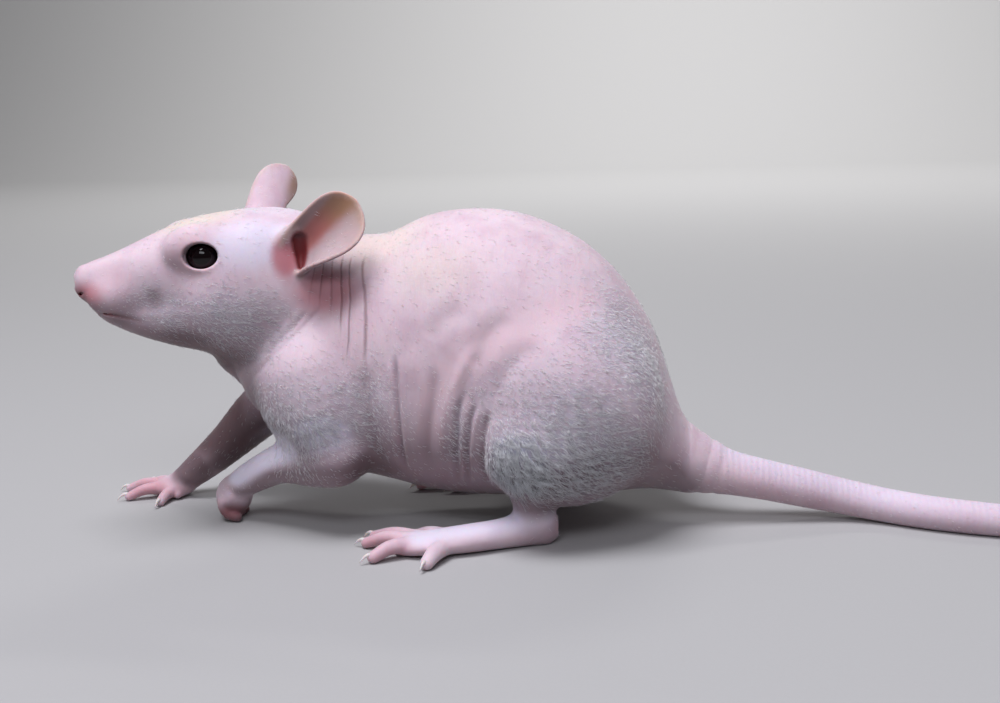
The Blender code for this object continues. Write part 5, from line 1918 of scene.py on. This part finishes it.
@dataclass
class Coat:
    """The short sparse down, each hair a tapered thread of solid mesh that follows the lie.

    Ankle holds the middle and the half length along the body, and the height, of the part
    above the heels where the down thins. Gather is how far hairs lean to the middle of their
    tuft, at least and more in the veil. Lengthening is how much longer they grow in the veil
    and on the knee.
    """

    seed: int = 7
    sparse: float = 0.4
    dense: float = 19.0
    radius: float = 0.04
    length: float = 0.95
    tuft: float = 1.7
    spread: tuple[float, float] = (0.55, 1.3)
    lift: tuple[float, float] = (0.12, 0.35)
    stray: float = 0.22
    root_depth: float = 0.08
    most_hairs: int = 18_500
    patch: float = 0.003
    core_height: float = 24.0
    lid_reach: float = 4.1
    nose_reach: float = 2.6
    toes: tuple[float, float] = (10.0, 5.5)
    tail_from: float = 46.0
    face_shortening: float = 0.45
    tail_share: float = 0.7
    fall: float = 0.45
    taper: float = 0.8
    clump: float = 0.35
    veil_power: float = 1.3
    bare_thinning: float = 0.7
    ankle: Triple = (12.0, 9.0, 11.5)
    ankle_thinning: float = 0.85
    gather: tuple[float, float] = (0.25, 0.9)
    lengthening: tuple[float, float] = (0.8, 0.9)
    face: Patch = Patch((6.0, 0.0, -2.0), (20.0, 14.0, 14.0), 1.0, 0.3, HEAD, False)
    knee: Patch = Patch((12.0, -20.0, 17.0), (12.0, 11.0, 11.0), 1.0, 0.4)
    floor_gap: float = 0.05
    finish: Down = Down()

    def density(self, points: Array, marks: dict[Mark, Array]) -> Array:
        """Hairs to a square millimetre: most where the veil is, none on lids, lips, cups and toes."""
        veil = marks[Mark.VEIL]
        amount = self.sparse + (self.dense - self.sparse) * veil**self.veil_power
        amount *= 1.0 - self.bare_thinning * marks[Mark.BARE] * (1.0 - veil)
        amount *= 1.0 - np.maximum.reduce([marks[Mark.CUP], marks[Mark.DEEP_RED_AND_PAINTED_SHADE], marks[Mark.OLIVE_AND_PAINTED_SHADE]])
        clumps = np.sin(points @ (1.3, 0.7, 1.9)) * np.sin(points @ (-0.9, 1.7, 1.1) + 1.0)
        amount *= 1.0 + self.clump * clumps
        bare = (points[:, 2] < self.toes[1]) & (points[:, 0] < self.toes[0])
        for _, _, centre, _ in Head().eyes():
            bare |= np.linalg.norm(points - centre, axis=1) < self.lid_reach
        bare |= np.linalg.norm(points - HEAD.world((0.5, 0.0, -1.7)), axis=1) < self.nose_reach
        bare |= points[:, 2] < 0.5
        middle, half, high = self.ankle
        ankle = ease(high - points[:, 2], 0.0, 3.0) * (np.abs(points[:, 0] - middle) < half)
        amount *= 1.0 - self.ankle_thinning * ankle
        return np.where(bare, 0.0, amount)

    def lie(self, points: Array) -> Array:
        """Which way the hairs point: back from the nose, down the limbs and along the tail."""
        way = np.tile((1.0, 0.0, -0.35), (len(points), 1))
        back, under = HEAD.way((1.0, 0.0, -0.2)), HEAD.way((0.8, 0.0, -0.8))
        for patch, direction in (
            (Patch((22.0, 0.0, 0.0), (34.0, 20.0, 24.0), 1.0, 0.6, HEAD, False), back),
            (Patch((30.0, 0.0, -12.0), (16.0, 14.0, 8.0), 1.0, 0.3, HEAD, False), under),
            (Patch((-30.0, -13.0, 20.0), (13.0, 9.0, 14.0), 1.0, 0.3), (0.2, 0.0, -1.0)),
            (Patch((-38.0, -9.0, 13.0), (16.0, 8.0, 6.0), 1.0, 0.4, both=False), (-0.7, 0.1, -0.6)),
            (Patch((-56.0, 11.0, 12.0), (18.0, 8.0, 14.0), 1.0, 0.5, both=False), (-0.6, 0.0, -0.8)),
            (Patch((13.0, -19.0, 18.0), (15.0, 10.0, 14.0), 1.0, 0.3), (0.7, 0.0, -0.75)),
            (Patch((2.0, -18.0, 3.0), (16.0, 9.0, 5.0), 1.0, 0.5), (-1.0, -0.1, -0.2)),
            (Patch((32.0, -8.0, 26.0), (12.0, 14.0, 20.0), 1.0, 0.3), (0.45, 0.0, -1.0)),
        ):
            share = patch.amount(points)[:, None]
            way = way * (1.0 - share) + share * np.array(direction)
        return way

    def roots(self, skin: bpy.types.Mesh, points: Array, normals: Array) -> tuple[Array, Array]:
        """Scatters hairs over the skin, more where it is denser.

        Args:
            skin: the skin's mesh of triangles.
            points: its points in millimetres.
            normals: its normals.

        Returns:
            Places and normals of the roots, at even odds within each triangle.
        """
        luck = np.random.default_rng(self.seed)
        corners = np.empty(len(skin.polygons) * 3, np.int32)
        skin.polygons.foreach_get("vertices", corners)
        corners = corners.reshape(-1, 3)
        middle = points[corners].mean(axis=1)
        first, second, third = (points[corners[:, k]] for k in range(3))
        twice_area = np.linalg.norm(np.cross(second - first, third - first), axis=1)
        expected = 0.5 * twice_area * self.density(middle, Markings().read(middle))
        chosen = np.repeat(np.arange(len(corners)), luck.poisson(expected))
        first, second = luck.random((2, len(chosen)))
        turned = first + second > 1.0
        first, second = np.where(turned, 1.0 - first, first), np.where(turned, 1.0 - second, second)
        shares = np.stack([1.0 - first - second, first, second], -1)[..., None]
        return (points[corners[chosen]] * shares).sum(1), (normals[corners[chosen]] * shares).sum(1)

    def tufts(self, roots: Array) -> tuple[Array, Array]:
        """How hairs gather: each leans toward the middle of its tuft.

        Returns:
            The way from each root to the middle of its cell of a grid, as a share of the
            cell's size, with each middle moved by sines of its cell's number, and a factor of
            0.75 to 1.25 on the length, one for each cell.
        """
        cells = np.floor(roots / self.tuft)
        waves = np.array(((12.99, 39.35, 71.7), (78.23, 11.14, 27.2), (37.72, 83.16, 53.4)))
        luck = np.sin(cells @ waves) * 437.5
        luck -= np.floor(luck)
        toward = (cells + 0.2 + 0.6 * luck) - roots / self.tuft
        return toward, 0.75 + 0.5 * luck[:, 0]

    def hairs(self, roots: Array, normals: Array) -> tuple[Array, Array]:
        """The hairs' points and faces.

        Args:
            roots: where they start.
            normals: the skin's normals there.

        Returns:
            Seven points and ten triangles to a hair: a triangle under the skin, one half way
            and a point at the tip. The first half rises from the lie by the lift, the second
            bends toward the lie.
        """
        luck = np.random.default_rng(self.seed + 1)
        normals = normals / np.linalg.norm(normals, axis=1)[:, None]
        marks = Markings().read(roots)
        lie = self.lie(roots) + luck.normal(0.0, self.stray, roots.shape)
        toward, weight = self.tufts(roots)
        least, more = self.gather
        lie += toward * (least + more * marks[Mark.VEIL])[:, None]
        lie -= (lie * normals).sum(1)[:, None] * normals
        lie /= np.maximum(np.linalg.norm(lie, axis=1), 1e-3)[:, None]
        tail = roots[:, 0] > self.tail_from
        shorter = 1.0 - self.face_shortening * self.face.amount(roots)
        length = self.length * luck.uniform(*self.spread, len(roots)) * shorter
        veiled, kneed = self.lengthening
        length *= (1.0 + veiled * marks[Mark.VEIL] + kneed * self.knee.amount(roots)) * weight
        length = np.where(tail, length * self.tail_share, length)[:, None]
        lift = (luck.uniform(*self.lift, len(roots)) * (1.0 + marks[Mark.VEIL]))[:, None]
        rise = lie * np.cos(lift) + normals * np.sin(lift)
        fall = lie * np.cos(self.fall * lift) + normals * np.sin(self.fall * lift)
        start = roots - normals * self.root_depth
        middle = roots + rise * length * 0.5
        tip = middle + fall * length * 0.5
        side = np.cross(lie, normals)
        ring = np.linspace(0.0, 2.0 * math.pi, 3, endpoint=False)
        turn = ring[None, :, None]
        out = np.cos(turn) * side[:, None] + np.sin(turn) * normals[:, None]
        low = start[:, None] + out * self.radius
        high = middle[:, None] + out * self.radius * self.taper
        points = np.concatenate([low, high, tip[:, None]], axis=1)
        points[..., 2] = np.maximum(points[..., 2], self.floor_gap)
        near = np.arange(3)
        after = np.roll(near, -1)
        tips = np.full(3, HAIR_POINTS - 1)
        walls = [(near, after, after + 3), (near, after + 3, near + 3), (near + 3, after + 3, tips)]
        one = np.vstack([(0, 2, 1), *(np.column_stack(wall) for wall in walls)])
        faces = (np.arange(len(roots))[:, None, None] * HAIR_POINTS + one).reshape(-1, 3)
        return points.reshape(-1, 3), faces

    def unwrap(self, coat: bpy.types.Object, roots: Array, faces: Array) -> None:
        """Gives each hair a small patch of the map at its root's place.

        The skin is unwrapped as a tube about the body's length: across by x, up by the angle
        about a line through the middle of the body. A patch is a small share of the map wide.
        """
        low, high = roots[:, 0].min(), roots[:, 0].max()
        across = 0.01 + 0.98 * (roots[:, 0] - low) / max(high - low, 1e-6)
        turn = np.arctan2(roots[:, 1] - middle_line(roots), roots[:, 2] - self.core_height)
        upward = 0.5 + 0.49 * turn / math.pi
        corner = np.array(((0, 0), (1, 0), (0.5, 0.3), (0, 0.6), (1, 0.6), (0.5, 0.8), (0.5, 1.0))) - 0.5
        places = np.stack([across, upward], -1)[:, None] + corner * self.patch
        layer = coat.data.uv_layers.new(name="OFBake")
        layer.uv.foreach_set("vector", places.reshape(-1, 2)[faces.ravel()].astype(np.float32).ravel())

    def build(self, skin: bpy.types.Object) -> list[bpy.types.Object]:
        """Grows the down on the skin in several pieces, from the nose back."""
        roots, facing = self.roots(skin.data, points_of(skin.data), normals_of(skin.data))
        order = np.argsort(roots[:, 0], kind="stable")
        finish = self.finish.material()
        made = []
        for k, part in enumerate(np.array_split(order, -(-len(order) // self.most_hairs))):
            places, faces = self.hairs(roots[part], facing[part])
            coat = new_object(f"down_{k + 1}", places, faces)
            marks = Markings().read(roots[part])
            # Painted shade from the dusk marks carries onto the down
            shown = {mark: marks[mark] for mark in (Mark.VEIL, Mark.CREAM, Mark.DUSK_AND_PAINTED_SHADE)}
            # The down carries the same painted shade of the underside
            shown[Mark.PAINTED_UNDERSHADE] = painted_underside_shade(roots[part], facing[part])
            put_attributes(coat.data, {mark: np.repeat(amount, HAIR_POINTS) for mark, amount in shown.items()})
            self.unwrap(coat, roots[part], faces)
            dress(coat, finish, "bare_skin")
            made.append(coat)
        return made


@dataclass(frozen=True)
class Lamp:
    """A rectangular area light aimed at a target, with places and sizes in metres."""

    name: str
    place: Triple
    size: tuple[float, float]
    power: float
    colour: str
    target: Triple = (0.0, 0.0, 0.03)

    def build(self) -> None:
        """Adds the light to the scene."""
        data = bpy.data.lights.new(self.name, "AREA")
        data.shape = "RECTANGLE"
        data.size, data.size_y = self.size
        data.energy = self.power
        data.color = linear(self.colour)[:3]
        lamp = bpy.data.objects.new(self.name, data)
        lamp.location = self.place
        aim = Vector(self.target) - Vector(self.place)
        lamp.rotation_euler = aim.to_track_quat("-Z", "Y").to_euler()
        bpy.context.scene.collection.objects.link(lamp)


@dataclass
class Studio:
    """A plain pale floor that curves up behind, with soft lights above."""

    floor_half: float = 1.6
    back: float = 1.1
    rise: float = 1.2
    bend: float = 0.35
    half_width: float = 2.4
    steps: int = 24
    lamps: tuple[Lamp, ...] = (
        Lamp("key", (-0.15, -0.15, 0.7), (0.34, 0.34), 4.4, "#f8f8ff"),
        Lamp("front fill", (-0.025, -0.435, 0.4), (0.34, 0.14), 0.8, "#f4f6ff"),
        Lamp("backdrop", (0.0, 0.8, 0.9), (0.5, 0.5), 11.0, "#ffffff", (0.0, 1.35, 0.25)),
    )
    room_colour: str = "#eef0f5"
    room_strength: float = 0.12
    finish: Plain = Plain("matt pale paper", "#b9b8b8", 0.9, grain_mm=0.6, grain=0.12, other="#aeadac")

    def floor(self) -> bpy.types.Object:
        """A floor carried along a profile: flat, a quarter circle behind, then upright."""
        flat = np.linspace(-self.floor_half, self.back, self.steps)
        turn = np.linspace(0.0, math.pi / 2.0, self.steps)[1:]
        profile = np.concatenate(
            [
                np.stack([flat, np.zeros_like(flat)], -1),
                np.stack([self.back + self.bend * np.sin(turn), self.bend * (1.0 - np.cos(turn))], -1),
                [(self.back + self.bend, self.rise)],
            ]
        )
        across = np.array((-self.half_width, self.half_width))
        points = np.stack(np.broadcast_arrays(across, profile[:, :1], profile[:, 1:]), -1).reshape(-1, 3)
        index = np.arange(len(points)).reshape(-1, 2)
        faces = np.stack([index[:-1, 0], index[:-1, 1], index[1:, 1], index[1:, 0]], -1)
        floor = new_object("studio_floor", points / MM + ORIGIN, faces)
        floor.data.materials.append(self.finish.material())
        return floor

    def build(self) -> None:
        """Floor, lights and the pale surroundings, shown without a film curve so that colours stay true."""
        self.floor()
        for lamp in self.lamps:
            lamp.build()
        bpy.context.scene.view_settings.view_transform = "Standard"
        world = bpy.data.worlds.new("pale room")
        world.use_nodes = True
        background = world.node_tree.nodes["Background"]
        set_sockets(background, {"Color": linear(self.room_colour), "Strength": self.room_strength})
        bpy.context.scene.world = world


@dataclass(frozen=True)
class PhotoCamera:
    """A pinhole camera with the photograph's framing, 1000 by 703 pixels."""

    place: Triple = (0.00128, -0.2369, 0.07982)
    turn: float = math.radians(9.0)
    down: float = math.radians(11.2)
    roll: float = math.radians(1.9)
    lens: float = 46.8
    sensor: float = 36.0

    def build(self) -> None:
        """Sets the camera by its own right, up and backward directions."""
        back = np.array(
            (
                math.sin(self.turn) * math.cos(self.down),
                -math.cos(self.turn) * math.cos(self.down),
                math.sin(self.down),
            )
        )
        right = np.array((math.cos(self.turn), math.sin(self.turn), 0.0))
        up = np.cross(back, right)
        rolled = right * math.cos(self.roll) - up * math.sin(self.roll)
        risen = right * math.sin(self.roll) + up * math.cos(self.roll)
        columns = np.column_stack([rolled, risen, back, self.place])
        data = bpy.data.cameras.new("photo camera")
        data.sensor_fit = "HORIZONTAL"
        data.sensor_width = self.sensor
        data.lens = self.lens
        data.clip_start = 0.005
        data.dof.use_dof = False
        camera = bpy.data.objects.new("photo camera", data)
        camera.matrix_world = Matrix([*columns.tolist(), (0.0, 0.0, 0.0, 1.0)])
        bpy.context.scene.collection.objects.link(camera)
        bpy.context.scene.camera = camera


PAIRED_NODES = ("ear", "foreleg", "forefoot", "hindleg", "hindfoot")
FLESH_NODES = (
    "head",
    "neck",
    "torso",
    *(f"{part}_{side}" for part in PAIRED_NODES for side in ("left", "right")),
    *(f"tail_{number}" for number in range(1, 5)),
)


def main() -> None:
    """Builds the animal and its studio, piece by piece."""
    logging.basicConfig(level=logging.INFO, format="%(message)s")
    PhotoCamera().build()
    Studio().build()
    animal = Skin()
    skin = animal.build()
    dress(skin, BareSkin().material(), "bare_skin", *FLESH_NODES)
    LOG.info("skin: %d triangles", len(skin.data.polygons))
    pieces = Eyes().build() + Claws(animal.hindlegs, FORELEG_RIGHT).build() + Coat().build(skin)
    for piece in pieces:
        LOG.info("%s: %d faces", piece.name, len(piece.data.polygons))


if __name__ == "__main__":
    main()
